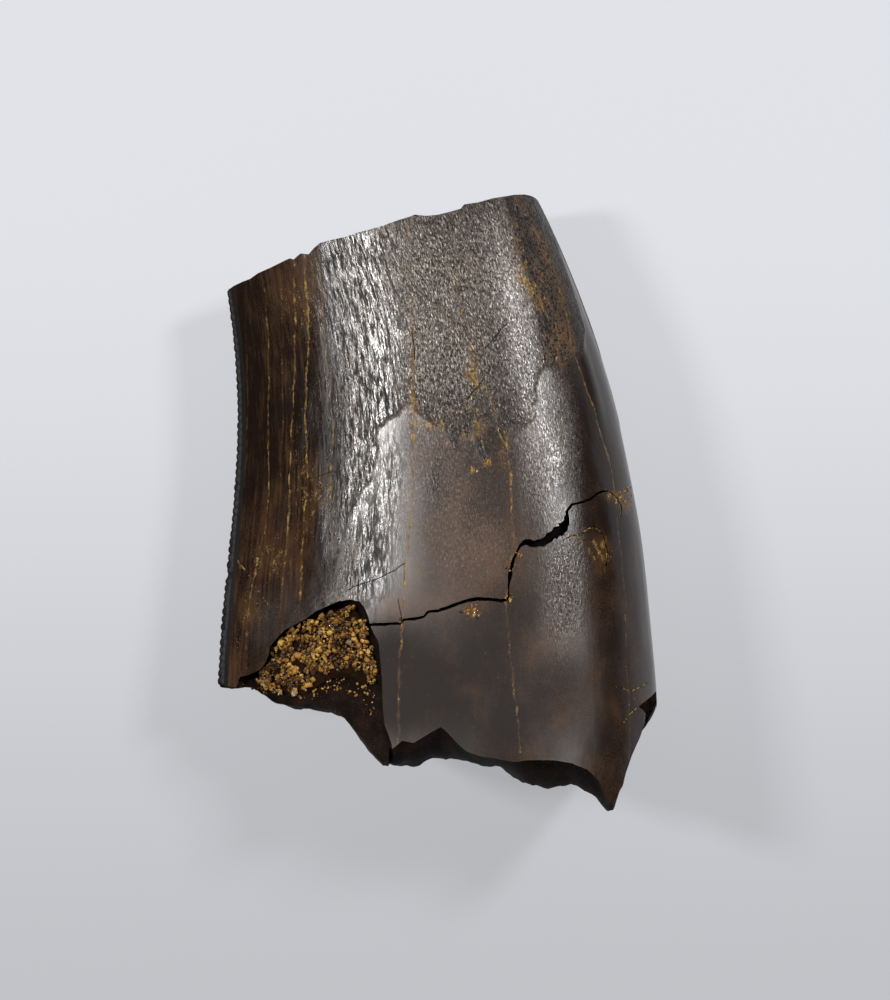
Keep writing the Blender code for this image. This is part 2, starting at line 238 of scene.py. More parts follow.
# The depths of the hollow, the chip and the crack, and how much narrower each crack is at its bottom.
HOLLOW_DEPTH = 1.1 * MM
HOLLOW_SHALLOW = 0.14 * MM
HOLLOW_RIM_SHARE = 0.45
HOLLOW_WALL_SHARE = 0.076
HOLLOW_RIGHT = (384.0, 336.0)
HOLLOW_FOOT = (712.0, 656.0)
RIM_CROWDING = 1.6
CHIP_SHELF = 0.5 * MM

# The floors' coarse and fine lumps and their sizes. The hollow's lumps are shares of its depth.
HOLLOW_LUMPS = (0.14, 0.03, 0.7 * MM, 0.16 * MM)
CHIP_LUMPS = (0.15 * MM, 0.03 * MM, 0.5 * MM, 0.14 * MM)

CRACK_DEPTH = 0.7 * MM
CRACK_STEP = 1.4
CRACK_JAG = 0.35
CUT_LIFT = 0.4 * MM
CRACK_BOTTOM = 0.5
HAIRLINE_BOTTOM = 0.6
OCHRE_BOTTOM = 0.7

# The cemented sand's outline, the area that its grains cover, and its materials' numbers.
SAND = (
    (262, 676), (271, 664), (276, 649), (290, 635), (310, 624), (330, 612), (349, 606), (359, 612),
    (365, 630), (372, 650), (374, 672), (368, 685), (352, 677), (330, 678), (314, 688), (303, 694),
    (284, 692), (268, 686),
)
SAND_MIDDLE = (325, 655)
SAND_AREA = (
    (256, 681), (262, 669), (271, 660), (273, 646), (287, 631), (308, 620), (328, 609), (350, 604),
    (361, 607), (367, 622), (373, 640), (377, 660), (376, 688), (362, 674), (345, 670), (318, 676),
    (306, 691), (300, 695), (278, 694), (262, 690),
)
SAND_SUNK_SHARE = 0.45
SAND_POINTS = 60
SAND_RINGS = 14
SAND_STRAYS = (
    (224, 684), (236, 683), (250, 680), (258, 684), (306, 694), (320, 680), (345, 674), (362, 680),
    (376, 690), (378, 712), (372, 722), (365, 700), (340, 690), (310, 700), (262, 694), (240, 688),
)
# The grains' layers, as (tries, smallest and largest radius in pixels, closeness, lift over the bed, and how
# far the layer thins out towards the edge and round its holes).
SAND_LAYERS = (
    (1400, (2.0, 3.2), 0.9, -0.10 * MM, 0.5), (2600, (1.2, 2.4), 0.85, 0.02 * MM, 0.9),
    (2200, (1.4, 3.2), 1.0, 0.12 * MM, 1.0), (3500, (0.6, 1.2), 1.0, 0.15 * MM, 0.8),
)
SAND_EDGE = 26.0
HOLE_SIZE = 0.5 * MM
HOLE_DEPTH = 1.3
HOLE_SHARE = 0.1
FEWER_LARGE = 1.6
STRAY_TRIES = 420
STRAY_RADII = (0.5, 1.7)
STRAY_CLOSENESS = 0.9
SAND_SEED = 20
GRAIN_UNEVEN = 0.27
QUARTZ_SHARE = 0.05
CEMENT, GRAIN, QUARTZ = range(3)

# Loose grains elsewhere on the piece: (column, row, reach, how many, largest radius in pixels).
CRUMBS = (
    (470, 612, 8, 26, 1.5), (487, 463, 4, 9, 1.3), (473, 470, 3, 5, 1.2), (622, 496, 9, 18, 1.3),
    (508, 598, 4, 8, 1.3), (510, 566, 4, 7, 1.2), (402, 620, 4, 6, 1.1), (517, 553, 4, 6, 1.1),
    (477, 612, 5, 8, 1.2),
)

CRUMB_LEAST = 0.7
CRUMB_SEED = 31

# Colours of the fossil, its dirt, the painted sheen, highlights and shade on it, and the stage.
ENAMEL_DARK = "#1b110b"
ENAMEL_LIGHT = "#604735"
ENAMEL_WARM = "#4f351e"
# Pale frosting of weathered enamel, which also serves as painted sheen on the highlight bands.
FROST_AND_SHEEN_COLOUR = "#8f8378"
# Painted highlight: the colour of the pale glint spots dotted over the frosting.
PAINTED_GLINT_COLOUR = "#e2dacf"
PITTED_DARK = "#22140a"
PITTED_LIGHT = "#7a5733"
# Black painted shade for the grooves, the pits and the rear edge.
SHADE_BLACK = "#070404"
SEAM_BROWN = "#5a4020"
OCHRE_DUST = "#6e5228"
OCHRE_SEAM = "#b0904c"
# The dentine is near black, partly its own colour and partly painted shade on the shaded break.
DENTINE_DARK = "#070403"
DENTINE_LIGHT = "#22150f"
# Near-black crack walls, partly painted shade in the cracks.
CRACK_SHADE_BLACK = "#070404"
CRACK_EARTH = "#2c1c10"
CEMENT_DARK = "#140c07"
CEMENT_LIGHT = "#2a190d"
GRAIN_DARK = "#2e1c0c"
GRAIN_OCHRE = "#9a6c2a"
GRAIN_PALE = "#c49a4c"
QUARTZ_HONEY = "#f0dcae"
FLOOR_COLOUR = "#7f8083"
ROOM_COLOUR = "#f2f4f8"

# Depths of the textures that are too fine for the mesh, the enamel's gloss, and the depths of fine cracks.
WRINKLE_BUMP = 0.02 * MM
GRANULE_BUMP = 0.03 * MM
RIDGE_BUMP = 0.05 * MM
PLATE_BUMP = 0.007 * MM
ENAMEL_IOR = 1.39
SMOOTH_ROUGHNESS = 0.2
WORN_ROUGHNESS = 0.65
REAR_ROUGHNESS = 0.11
GRAINY_ROUGHNESS = 0.16
DULL_SPECULAR = 0.06
HAIRLINE_DEPTH = 0.15 * MM
OCHRE_CRACK_DEPTH = 0.1 * MM
SHARP_ANGLE = math.radians(38.0)

# The stage. Each soft lamp has a name, a lean to the side of straight up, a lean towards the tip, a size and
# its share of the radiance.
SOFTBOXES = (
    ("softbox_left", math.radians(-40.0), math.radians(10.0), (0.048, 0.075), 1.5),
    ("softbox_right", math.radians(37.0), math.radians(26.0), (0.05, 0.085), 1.25),
)
SOFTBOX_DISTANCE = 0.35
LAMP_RADIANCE = 50.0
ROOM_LIGHT = 0.05
OVERHEAD_SIZE = (0.8, 0.8)
OVERHEAD_PLACE = (0.0, 0.25, 0.9)
OVERHEAD_RADIANCE = 0.35
# The floor's size, the share of its colour kept at the front as a painted falloff of the lamps' light, and
# the glow that lightens the shadows on it.
FLOOR_REACH = 0.5
FLOOR_PAINTED_FALLOFF = 0.73
FLOOR_GLOW = 2.35
CAMERA_DISTANCE = 0.6
CAMERA_CLIP = (0.01, 10.0)
SENSOR_HEIGHT = 24.0
FOCUS_HEIGHT = 5.0 * MM

# Where the thick outer enamel with its wrinkles ends, and the patch of it whose pits are filled with ochre.
SKIN = (
    (150, 120), (545, 120), (541, 193), (551, 220), (560, 250), (569, 278), (577, 300), (585, 330),
    (583, 352), (571, 362), (556, 365), (545, 367), (540, 371), (538, 376), (534, 390), (537, 400),
    (531, 407), (536, 415), (530, 423), (522, 428), (512, 424), (507, 432), (505, 446), (500, 436),
    (495, 422), (484, 416), (476, 421), (482, 440), (484, 455), (489, 462), (484, 466), (479, 455),
    (475, 446), (472, 428), (468, 440), (462, 430), (458, 447), (456, 452), (451, 446), (446, 434),
    (442, 425), (435, 427), (426, 420), (416, 412), (410, 405), (403, 408), (399, 414), (387, 420),
    (385, 424), (379, 427), (377, 437), (379, 449), (377, 461), (372, 475), (371, 483), (363, 489),
    (358, 503), (354, 530), (352, 560), (349, 586), (338, 600), (305, 612), (270, 606), (245, 570),
    (224, 545), (150, 530),
)
STEP_FADE_ROWS = (490.0, 600.0)
PITTED = (
    (500, 180), (508, 215), (515, 245), (524, 270), (532, 300), (538, 330), (540, 352), (541, 364),
    (556, 367), (571, 363), (576, 350), (573, 330), (568, 305), (560, 280), (551, 255), (543, 225),
    (536, 205), (532, 180),
)

# Thin lengthwise seams filled with ochre: their strength, width in pixels and (column, row) points, from the
# rear edge to the front edge.
SEAMS = (
    (0.30, 1.6, ((246, 300), (247, 450), (243, 540), (236, 600), (230, 660))),
    (0.55, 1.8, ((262, 275), (266, 300), (269, 400), (268, 500), (265, 531), (258, 560), (253, 585),
                 (246, 620))),
    (0.35, 1.6, ((279, 270), (283, 330), (283, 400), (281, 470), (272, 545), (268, 600))),
    (0.55, 2.0, ((294, 262), (296, 320), (293, 400), (291, 470), (287, 530), (282, 600))),
    (0.85, 2.4, ((305, 262), (308, 330), (306, 430), (307, 470), (304, 530), (302, 576), (299, 610))),
    (0.75, 2.0, ((318, 248), (322, 300), (328, 360), (332, 420), (333, 440), (331, 480), (333, 540),
                 (330, 600))),
    (0.40, 1.4, ((344, 240), (347, 300), (352, 380), (355, 450), (350, 520), (347, 580))),
    (0.90, 3.4, ((408, 222), (411, 300), (412, 330), (414, 370), (414, 400), (415, 415), (414, 456),
                 (413, 475), (412, 520), (409, 550), (406, 562), (403, 600), (401, 650), (399, 700),
                 (398, 740))),
    (0.75, 2.8, ((448, 215), (458, 290), (466, 330), (472, 360), (478, 375), (484, 388), (491, 398),
                 (493, 412), (497, 422), (503, 431), (507, 446), (509, 463), (511, 474), (512, 545),
                 (506, 600), (512, 680), (520, 745))),
    (0.40, 1.6, ((520, 200), (530, 290), (541, 375), (550, 398), (559, 417), (566, 441), (572, 465),
                 (576, 490), (584, 560), (590, 650), (592, 720))),
    (0.95, 1.6, ((549, 215), (562, 300), (573, 350), (585, 384), (593, 407), (597, 425), (605, 450),
                 (612, 476), (616, 500), (624, 600), (628, 700))),
)
# How strong each seam is from place to place, as (seam number, row, reach in rows, factor). Elsewhere it is
# faint.
SEAM_FAINT = 0.5
SEAM_RUNS = (
    (0, 420, 90, 0.8), (1, 470, 160, 1.0), (1, 590, 25, 1.0), (2, 380, 90, 0.8), (3, 400, 120, 0.9),
    (3, 520, 30, 1.0), (4, 430, 70, 1.0), (4, 574, 14, 1.4), (4, 300, 40, 0.8), (5, 436, 12, 1.5),
    (5, 350, 60, 0.9), (5, 480, 20, 0.8), (6, 400, 90, 0.8), (7, 385, 50, 1.1), (7, 490, 80, 1.7),
    (7, 640, 60, 0.3), (8, 380, 22, 1.5), (8, 440, 50, 1.0), (8, 520, 40, 0.7), (8, 700, 60, 0.3),
    (9, 425, 45, 1.1), (10, 410, 50, 1.2), (10, 470, 20, 0.7),
)

# Where ochre dust lies in the texture, as (column, row, reach across, reach along, amount).
OCHRE_PATCHES = (
    (300, 300, 26, 50, 0.50), (300, 440, 20, 80, 0.32), (322, 500, 28, 45, 0.46), (270, 560, 34, 34, 0.50),
    (247, 615, 14, 26, 0.50), (238, 655, 8, 30, 0.30), (440, 320, 40, 60, 0.26), (414, 395, 8, 40, 0.50),
    (474, 378, 10, 26, 0.85), (452, 412, 34, 12, 0.45), (428, 424, 16, 7, 0.90), (476, 432, 14, 16, 0.75),
    (487, 463, 5, 5, 1.20), (473, 470, 5, 5, 1.00), (467, 488, 7, 10, 0.55), (504, 455, 8, 40, 0.50),
    (516, 240, 7, 30, 0.60), (521, 272, 6, 13, 1.25), (530, 290, 7, 11, 1.40), (541, 305, 7, 9, 1.15),
    (558, 335, 16, 34, 0.52), (536, 240, 14, 40, 0.20), (614, 496, 12, 7, 0.95), (626, 506, 8, 10, 0.70),
    (602, 552, 14, 22, 0.48), (590, 545, 18, 16, 0.40), (508, 596, 6, 8, 0.85), (516, 552, 5, 8, 0.60),
    (560, 375, 10, 20, 0.22), (330, 355, 20, 60, 0.26), (470, 612, 8, 9, 1.00), (640, 700, 12, 12, 0.45),
    (600, 660, 20, 40, 0.22), (560, 680, 40, 40, 0.18), (440, 700, 40, 30, 0.12), (415, 570, 12, 12, 0.40),
    (350, 598, 16, 6, 0.45),
)

# Where the enamel is lighter or darker than its usual brown, in the same form.
TONE_PATCHES = (
    (470, 555, 60, 42, 0.42), (430, 600, 50, 16, 0.35), (392, 610, 26, 12, 0.35), (430, 470, 50, 50, 0.22),
    (440, 300, 90, 80, 0.30), (560, 640, 40, 60, 0.16), (430, 690, 90, 60, -0.25), (300, 290, 30, 40, 0.30),
    (250, 400, 50, 170, -0.40), (262, 620, 46, 44, -0.22), (590, 420, 18, 60, -0.35),
    (600, 540, 16, 26, -0.45), (620, 525, 10, 14, -0.60), (540, 220, 16, 40, -0.25),
    (556, 350, 16, 20, -0.30), (520, 700, 40, 26, -0.10), (440, 725, 60, 14, -0.15),
    (318, 430, 22, 150, -0.60), (490, 440, 12, 16, -0.35), (622, 600, 14, 90, -0.10),
    (345, 640, 30, 60, -0.20),
)

# Where burial has worn the enamel to a satin, in the same form.
WORN_PATCHES = (
    (465, 520, 60, 90, 0.80), (450, 690, 90, 80, 1.00), (385, 670, 34, 80, 0.60), (270, 620, 50, 40, 0.25),
    (565, 690, 36, 60, 0.80), (430, 440, 40, 40, 0.35),
)

# Where weathering has left a pale frosting on the enamel, which also serves as painted sheen on the lamps'
# highlight bands, in the same form.
FROST_AND_SHEEN_PATCHES = (
    (440, 280, 60, 80, 1.00), (455, 370, 50, 45, 0.70), (362, 330, 26, 100, 0.60), (372, 250, 40, 30, 0.55),
    (362, 450, 16, 60, 0.60), (352, 560, 12, 60, 0.45), (522, 330, 14, 70, 1.00), (545, 450, 18, 50, 0.90),
    (415, 350, 25, 70, 0.55), (500, 260, 22, 60, 0.70), (430, 470, 60, 60, 0.14), (470, 550, 50, 40, 0.10),
    (384, 500, 20, 50, 0.40), (563, 590, 16, 50, 0.35), (340, 600, 20, 12, 0.3),
)

# Where the surface is grainy although the outer enamel is gone, in the same form.
GRAIN_PATCHES = (
    (372, 540, 22, 55, 0.90), (392, 470, 14, 40, 0.60), (436, 475, 9, 34, 0.70), (549, 445, 22, 70, 0.95),
    (563, 590, 16, 46, 0.70), (352, 585, 14, 22, 0.90), (300, 560, 50, 50, 0.30), (484, 540, 30, 12, 0.20),
)

# Where the plates between the grooves lie flat, so that they shine together, in the same form.
FLAT_PATCHES = (
    (502, 240, 16, 34, 0.60), (512, 290, 20, 34, 1.00), (524, 345, 18, 40, 1.20), (538, 400, 18, 40, 1.20),
    (548, 455, 20, 40, 1.00), (558, 505, 18, 30, 0.80),
)


def between(row, at_base, at_tip):
    """A size that changes evenly along the crown."""
    return at_base + (at_tip - at_base) * (BASE_ROW - row) / (BASE_ROW - TIP_ROW)


def smooth_edge(points):
    """The column of a crown edge as a smooth function of the row."""
    columns, rows = np.array(points, float).T
    return np.polynomial.Polynomial.fit(rows, columns, 5)


REAR_COLUMN = smooth_edge(REAR_EDGE)
FRONT_COLUMN = smooth_edge(FRONT_EDGE)


def share_across(column, row):
    """How far a place lies from the rear edge, at 0, to the front edge, at 1."""
    rear = REAR_COLUMN(row)
    return np.clip((column - rear) / (FRONT_COLUMN(row) - rear), 0.0, 1.0)


def turn_at(column, row):
    """The angle round the section of a near-face place: 0 at the rear edge and pi at the front edge."""
    return 2.0 * np.arcsin(np.sqrt(share_across(column, row)))


def crown(turn, row):
    """Points of the unbroken crown, as x, y and z, at angles round the section and rows of the photograph."""
    turn, row = np.broadcast_arrays(np.asarray(turn, float), np.asarray(row, float))
    share = np.sin(turn / 2.0) ** 2
    rear = REAR_COLUMN(row)
    width = (FRONT_COLUMN(row) - rear) * PX
    near_depth = between(row, BASE_DEPTH_NEAR, TIP_DEPTH_NEAR)
    far_depth = between(row, BASE_DEPTH_FAR, TIP_DEPTH_FAR)
    teardrop = share * np.sqrt(1.0 - share)
    fuller = teardrop + FAR_FULLNESS * share * (1.0 - share) * (FAR_TURN - share)
    near = near_depth * teardrop / TEARDROP_PEAK
    far = -far_depth * fuller / FAR_PEAK
    x = (rear - PHOTO_MIDDLE[0]) * PX + share * width
    y = (PHOTO_MIDDLE[1] - row) * PX
    z = middle_height(row) + np.where(turn <= math.pi, near, far)
    z = (z + np.sqrt(z * z + REST_FACET_SOFTNESS ** 2)) / 2.0
    return np.stack([x, y, z], axis=-1)


def middle_height(row):
    """The height over the floor of the line from the crown's rear edge to its front edge."""
    return between(row, BASE_DEPTH_FAR, TIP_DEPTH_FAR) * (1.0 - REST_FACET_SHARE)


def near_face(column, row):
    """The point of the near face at a place in the photograph, kept over that place."""
    point = crown(turn_at(column, row), row)
    point[..., 0] = (np.asarray(column) - PHOTO_MIDDLE[0]) * PX
    return point


def photo_place(points):
    """The columns and rows of the photograph that lie over points in metres."""
    return points[..., 0] / PX + PHOTO_MIDDLE[0], PHOTO_MIDDLE[1] - points[..., 1] / PX


def smooth_noise(points, size, seed=0.0, octaves=1):
    """Smooth noise from about -1 to 1 at each point, whose features have this size."""
    places = np.asarray(points) / size + seed
    if octaves == 1:
        return np.array([noise.noise(place) for place in places.tolist()])
    return np.array([noise.fractal(place, 0.9, 2.0, octaves) for place in places.tolist()])


def ramp(value, low, high):
    """0 at low, 1 at high, a smooth way between them and no change beyond them."""
    t = np.clip((value - low) / (high - low), 0.0, 1.0)
    return t * t * (3.0 - 2.0 * t)


def inside_distance(columns, rows, outline):
    """The distance in pixels from each place to an outline, positive inside it."""
    corners = np.array(outline, float)
    ahead = np.roll(corners, -1, axis=0)
    nearest = np.full(columns.shape, 1e9)
    inside = np.zeros(columns.shape, bool)
    for (ax, ay), (bx, by) in zip(corners, ahead):
        run_x, run_y = bx - ax, by - ay
        along = np.clip(((columns - ax) * run_x + (rows - ay) * run_y) / (run_x ** 2 + run_y ** 2), 0.0, 1.0)
        nearest = np.minimum(nearest, np.hypot(columns - ax - along * run_x, rows - ay - along * run_y))
        crosses = (ay > rows) != (by > rows)
        at = ax + (rows - ay) * run_x / (run_y if run_y else 1e-9)
        inside ^= crosses & (columns < at)
    return np.where(inside, nearest, -nearest)


def patches(columns, rows, places):
    """The sum of soft round patches at each place."""
    total = np.zeros(columns.shape)
    for column, row, reach_across, reach_along, amount in places:
        across, along = (columns - column) / reach_across, (rows - row) / reach_along
        total += amount * np.exp(-across ** 2 - along ** 2)
    return total


def seam_fields(columns, rows):
    """Each place's distance in pixels, which crosses zero at every seam, and the nearest seam's strength."""
    signed = np.full(columns.shape, 1e9)
    strength = np.zeros(columns.shape)
    width = np.ones(columns.shape)
    on_left = np.zeros(columns.shape, int)
    for number, (most, wide, points) in enumerate(SEAMS):
        seam_columns, seam_rows = np.array(points, float).T
        offset = columns - np.interp(rows, seam_rows, seam_columns)
        meander = 0.7 * np.sin(rows / 23.0 + 2.3 * number) + 0.4 * np.sin(rows / 7.3 + 1.7 * number)
        offset = offset + meander
        on_left += offset > 0.0
        here = np.full(columns.shape, SEAM_FAINT)
        for which, row, reach, factor in SEAM_RUNS:
            if which == number:
                here = here + factor * np.exp(-((rows - row) / reach) ** 2)
        closer = np.abs(offset) < np.abs(signed)
        signed = np.where(closer, np.abs(offset), np.abs(signed))
        strength = np.where(closer, most * here, strength)
        width = np.where(closer, wide, width)
    return signed / width * np.where(on_left % 2, 1.0, -1.0), strength


def denticle_place(row):
    """How many denticles lie between the base break and a place on the rear edge."""
    return (BASE_NEAR[0][1] - row) / (BASE_NEAR[0][1] - TIP_NEAR[0][1]) * DENTICLES


def section_arc():
    """The angles round the near face and how far each lies from the rear edge over the surface."""
    turns = np.linspace(0.0, math.pi, 4000)
    points = crown(turns, (BASE_ROW + TIP_ROW) / 2.0)
    return turns, np.concatenate([[0.0], np.cumsum(np.linalg.norm(np.diff(points, axis=0), axis=1))])


def section_turns():
    """Angles from the rear edge to the front edge, crowded by the rear edge and then evenly spaced."""
    turns, walked = section_arc()
    stops = np.linspace(DENTICLE_STOPS[-1] + 0.1 * MM, walked[-1], NEAR_COLUMNS + 1)
    return np.interp(np.concatenate([DENTICLE_STOPS, stops]), walked, turns)


def break_rows(near, far, turns):
    """The row of a break's edge at each angle round the section."""
    near, far = np.array(near, float), np.array(far, float)
    near_turns = turn_at(near[:, 0], near[:, 1])
    far_turns = 2.0 * math.pi - turn_at(far[:, 0], far[:, 1])
    places = np.concatenate([near_turns, far_turns])
    rows = np.concatenate([near[:, 1], far[:, 1]])
    order = np.argsort(places, kind="stable")
    return np.interp(turns, places[order], rows[order])


def place_object(name, data):
    """A new object in the scene."""
    made = bpy.data.objects.new(name, data)
    bpy.context.scene.collection.objects.link(made)
    return made


class Shell:
    """Points and faces of a mesh that is being built, with the number of the material of each face."""

    def __init__(self):
        self.points = np.zeros((0, 3))
        self.faces = []
        self.materials = []

    def add_points(self, points):
        """Adds points and returns their numbers."""
        first = len(self.points)
        self.points = np.concatenate([self.points, points])
        return list(range(first, first + len(points)))

    def add_face(self, corners, material=0):
        """Adds a face, without the corners that repeat."""
        corners = [corner for place, corner in enumerate(corners) if corner not in corners[:place]]
        if len(corners) > 2:
            self.faces.append(corners)
            self.materials.append(material)

    def join(self, outer, inner, material=0):
        """Adds the strip of faces between two closed rings."""
        for place in range(len(outer)):
            after = (place + 1) % len(outer)
            self.add_face([outer[place], outer[after], inner[after], inner[place]], material)

    def to_object(self, name, materials):
        """An object of these faces, all facing out."""
        data = bpy.data.meshes.new(name)
        data.from_pydata(self.points.tolist(), [], self.faces)
        for material in materials:
            data.materials.append(material)
        data.polygons.foreach_set("material_index", self.materials)
        mesh = bmesh.new()
        mesh.from_mesh(data)
        bmesh.ops.recalc_face_normals(mesh, faces=mesh.faces)
        mesh.to_mesh(data)
        mesh.free()
        return place_object(name, data)


def column_points(turn, base_row, tip_row, steps):
    """Points of one column of the crown's surface, from the base to the tip."""
    return crown(turn, base_row + (tip_row - base_row) * np.linspace(0.0, 1.0, steps + 1))


def crown_columns(shell):
    """The points of the crown's sides: the near face's columns, and the far face's columns by number."""
    turns = section_turns()
    fine = len(DENTICLE_STOPS)
    far_numbers = list(range(1, fine)) + list(range(fine, len(turns) - 1, FAR_COLUMN_STEP))
    near_base, near_tip = (break_rows(near, far, turns) for near, far in ENDS)
    far_turns = 2.0 * math.pi - turns
    far_base, far_tip = (break_rows(near, far, far_turns) for near, far in ENDS)
    near, far = [], {}
    for number in range(len(turns)):
        steps = ROWS * 2 if number < fine else ROWS
        points = column_points(turns[number], near_base[number], near_tip[number], steps)
        near.append(shell.add_points(points))
        if number in far_numbers:
            points = column_points(far_turns[number], far_base[number], far_tip[number], steps)
            far[number] = shell.add_points(points)
    far[0] = near[0]
    far[len(turns) - 1] = near[-1]
    return near, far


def side_faces(shell, first, second, material):
    """The faces between two columns, one of which may have twice the rows of the other."""
    first_each, second_each = (len(first) - 1) // ROWS, (len(second) - 1) // ROWS
    for row in range(ROWS):
        left = first[row * first_each:(row + 1) * first_each + 1]
        right = second[row * second_each:(row + 1) * second_each + 1]
        if len(left) != len(right):
            shell.add_face(right + left[::-1], material)
            continue
        for place in range(len(left) - 1):
            shell.add_face([left[place], right[place], right[place + 1], left[place + 1]], material)


def break_points(near_points, far_points, core, roughness):
    """Points across a break, from each point of its near edge to the one of its far edge that faces it."""
    columns, near_rows = photo_place(near_points)
    far_rows = photo_place(far_points)[1]
    core_columns, core_rows = np.array(core, float).T
    shares = share_across(columns, near_rows)
    core_row = np.interp(shares, share_across(core_columns, core_rows), core_rows)
    swell = core_row - (near_rows + (far_rows - near_rows) * CORE_PLACE)
    layers = []
    for step in range(1, BREAK_STEPS):
        depth = (step / BREAK_STEPS) ** BREAK_CROWDING
        layer = near_points + (far_points - near_points) * depth
        layer[:, 1] -= swell * np.interp(depth, SWELL_PLACES, SWELL_AMOUNTS) * PX
        fade = min(1.0, BREAK_RIM * depth, BREAK_RIM * (1.0 - depth))
        places = layer * (1.0, 0.0, 1.0) + (0.0, roughness, 0.0)
        lumps = smooth_noise(places, BREAK_LUMP, octaves=3)
        splinters = np.abs(smooth_noise(places * (1.0, 1.0, 0.35), SPLINTER, 7.3, 2))
        layer[:, 1] += roughness * fade * (lumps + SPLINTER_SHARE * splinters)
        layers.append(layer)
    return layers


def break_faces(shell, near, far, end, core, roughness):
    """Closes one broken end: end is 0 at the base and -1 at the tip."""
    near_rim = [column[end] for column in near]
    numbers = sorted(far)
    far_rim = [far[number][end] for number in numbers]
    near_points = shell.points[near_rim]
    far_points = np.stack([
        np.interp(np.arange(len(near)), numbers, shell.points[far_rim][:, axis]) for axis in range(3)
    ], axis=-1)
    layers = break_points(near_points, far_points, core, roughness)
    rims = [near_rim]
    for layer in layers:
        inner = shell.add_points(layer[1:-1])
        rims.append([near_rim[0]] + inner + [near_rim[-1]])
    for upper, lower in zip(rims, rims[1:]):
        for place in range(len(near) - 1):
            shell.add_face([upper[place], upper[place + 1], lower[place + 1], lower[place]], DENTINE)
    for place, (number, after) in enumerate(zip(numbers, numbers[1:])):
        upper = rims[-1][number:after + 1]
        shell.add_face(upper + [far_rim[place + 1], far_rim[place]], DENTINE)


def surface_fields(points):
    """What the surface is like at each point: where it is, and how much it has of each texture and tint."""
    columns, rows = photo_place(points)
    shares = share_across(columns, rows)
    height = points[:, 2] - middle_height(rows)
    near = ramp(height, -EDGE_REACH, EDGE_REACH)
    turns, walked = section_arc()
    waver = smooth_noise(points, WAVER_SIZE, 3.1) * WAVER
    skin = inside_distance(columns, rows, SKIN) + waver * SKIN_WAVER
    skin_fade = 1.0 - ramp(rows, *STEP_FADE_ROWS)
    far_skin = FAR_SKIN_SWING * smooth_noise(points, FAR_SKIN_SIZE, 8.7)
    far_skin = far_skin + (FAR_SKIN_ROW - rows) / FAR_SKIN_ROWS
    seam, seam_strength = seam_fields(columns, rows)
    return {
        "columns": columns,
        "rows": rows,
        "shares": shares,
        "near": near,
        "across": np.interp(2.0 * np.arcsin(np.sqrt(shares)), turns, walked),
        "height": height,
        "skin": skin * near + far_skin * (1.0 - near),
        "skin_fade": skin_fade * near + 1.0 - near,
        "pitted": inside_distance(columns, rows, PITTED) * near - FAR_PITTED * (1.0 - near) + waver,
        "seam": seam,
        "seam_strength": seam_strength * (0.3 + 0.7 * near),
        "ochre": patches(columns, rows, OCHRE_PATCHES) * near + FAR_OCHRE * (1.0 - near),
        "tone": patches(columns, rows, TONE_PATCHES) * near,
        "grainy": patches(columns, rows, GRAIN_PATCHES) * near,
        "frost_and_sheen": patches(columns, rows, FROST_AND_SHEEN_PATCHES) * near + FAR_FROST * (1.0 - near),
        "worn": np.clip(patches(columns, rows, WORN_PATCHES), 0.0, 1.0) * near + FAR_WORN * (1.0 - near),
    }


def rises(points, height, drawn_out, size, seed):
    """Smooth rises and dips of the surface, longer along the crown than across it."""
    return height * smooth_noise(points * (1.0, drawn_out, 1.0), size, seed, 2)


def relief(points, fields, settings):
    """How far the enamel's surface lies outside the smooth crown at each point."""
    columns, rows, near = fields["columns"], fields["rows"], fields["near"]
    step = settings.enamel_step * ramp(fields["skin"], -1.2, 1.2) * fields["skin_fade"] ** 3
    over_skin = ramp(fields["skin"], 0.0, 4.0)
    furrows = np.exp(-(fields["seam"] / FURROW_REACH) ** 2) * fields["seam_strength"] * FURROW_DEPTH
    off_ridge = (fields["shares"] - FRONT_RIDGE_SHARE) / FRONT_RIDGE_WIDTH
    front_ridge = FRONT_RIDGE * np.exp(-off_ridge ** 2) * ramp(rows, *FRONT_RIDGE_START)
    front_ridge = front_ridge * near * (1.0 - ramp(rows, *FRONT_RIDGE_END))
    edge_fade = ramp(fields["shares"], 0.0, 0.03)
    over_skin = over_skin * ramp(columns, *WRINKLED_COLUMNS)
    even = step + rises(points, *SWELLS) + rises(points, *LUMPS)
    total = even + rises(points, *WRINKLES) * over_skin - furrows * near
    return total * edge_fade + front_ridge


def denticle_relief(fields, settings):
    """How far the worn denticles stand out from the rear edge at each point."""
    rows = fields["rows"]
    place = denticle_place(rows)
    number = np.floor(place)
    uneven = 0.75 + 0.5 * np.modf(np.abs(np.sin(number * 12.9898 + 4.1) * 43758.5453))[0]
    lobe = np.abs(np.sin(math.pi * place)) ** DENTICLE_SQUARENESS
    worn = 1.0 - DENTICLE_WEAR * np.clip(place / DENTICLES * 1.6 - 0.4, 0.0, 1.0)
    bitten = 1.0 - 1.2 * np.exp(-((rows - BITE_ROW) / BITE_REACH) ** 2)
    fade = 1.0 - ramp(fields["across"], *DENTICLE_FADE)
    return settings.denticle_height * lobe * worn * uneven * bitten * fade


def vectors_of(items, name):
    """A table of the vectors that a mesh holds for each of its vertices."""
    table = np.empty(len(items) * 3, np.float32)
    items.foreach_get(name, table)
    return table.reshape(-1, 3).astype(float)


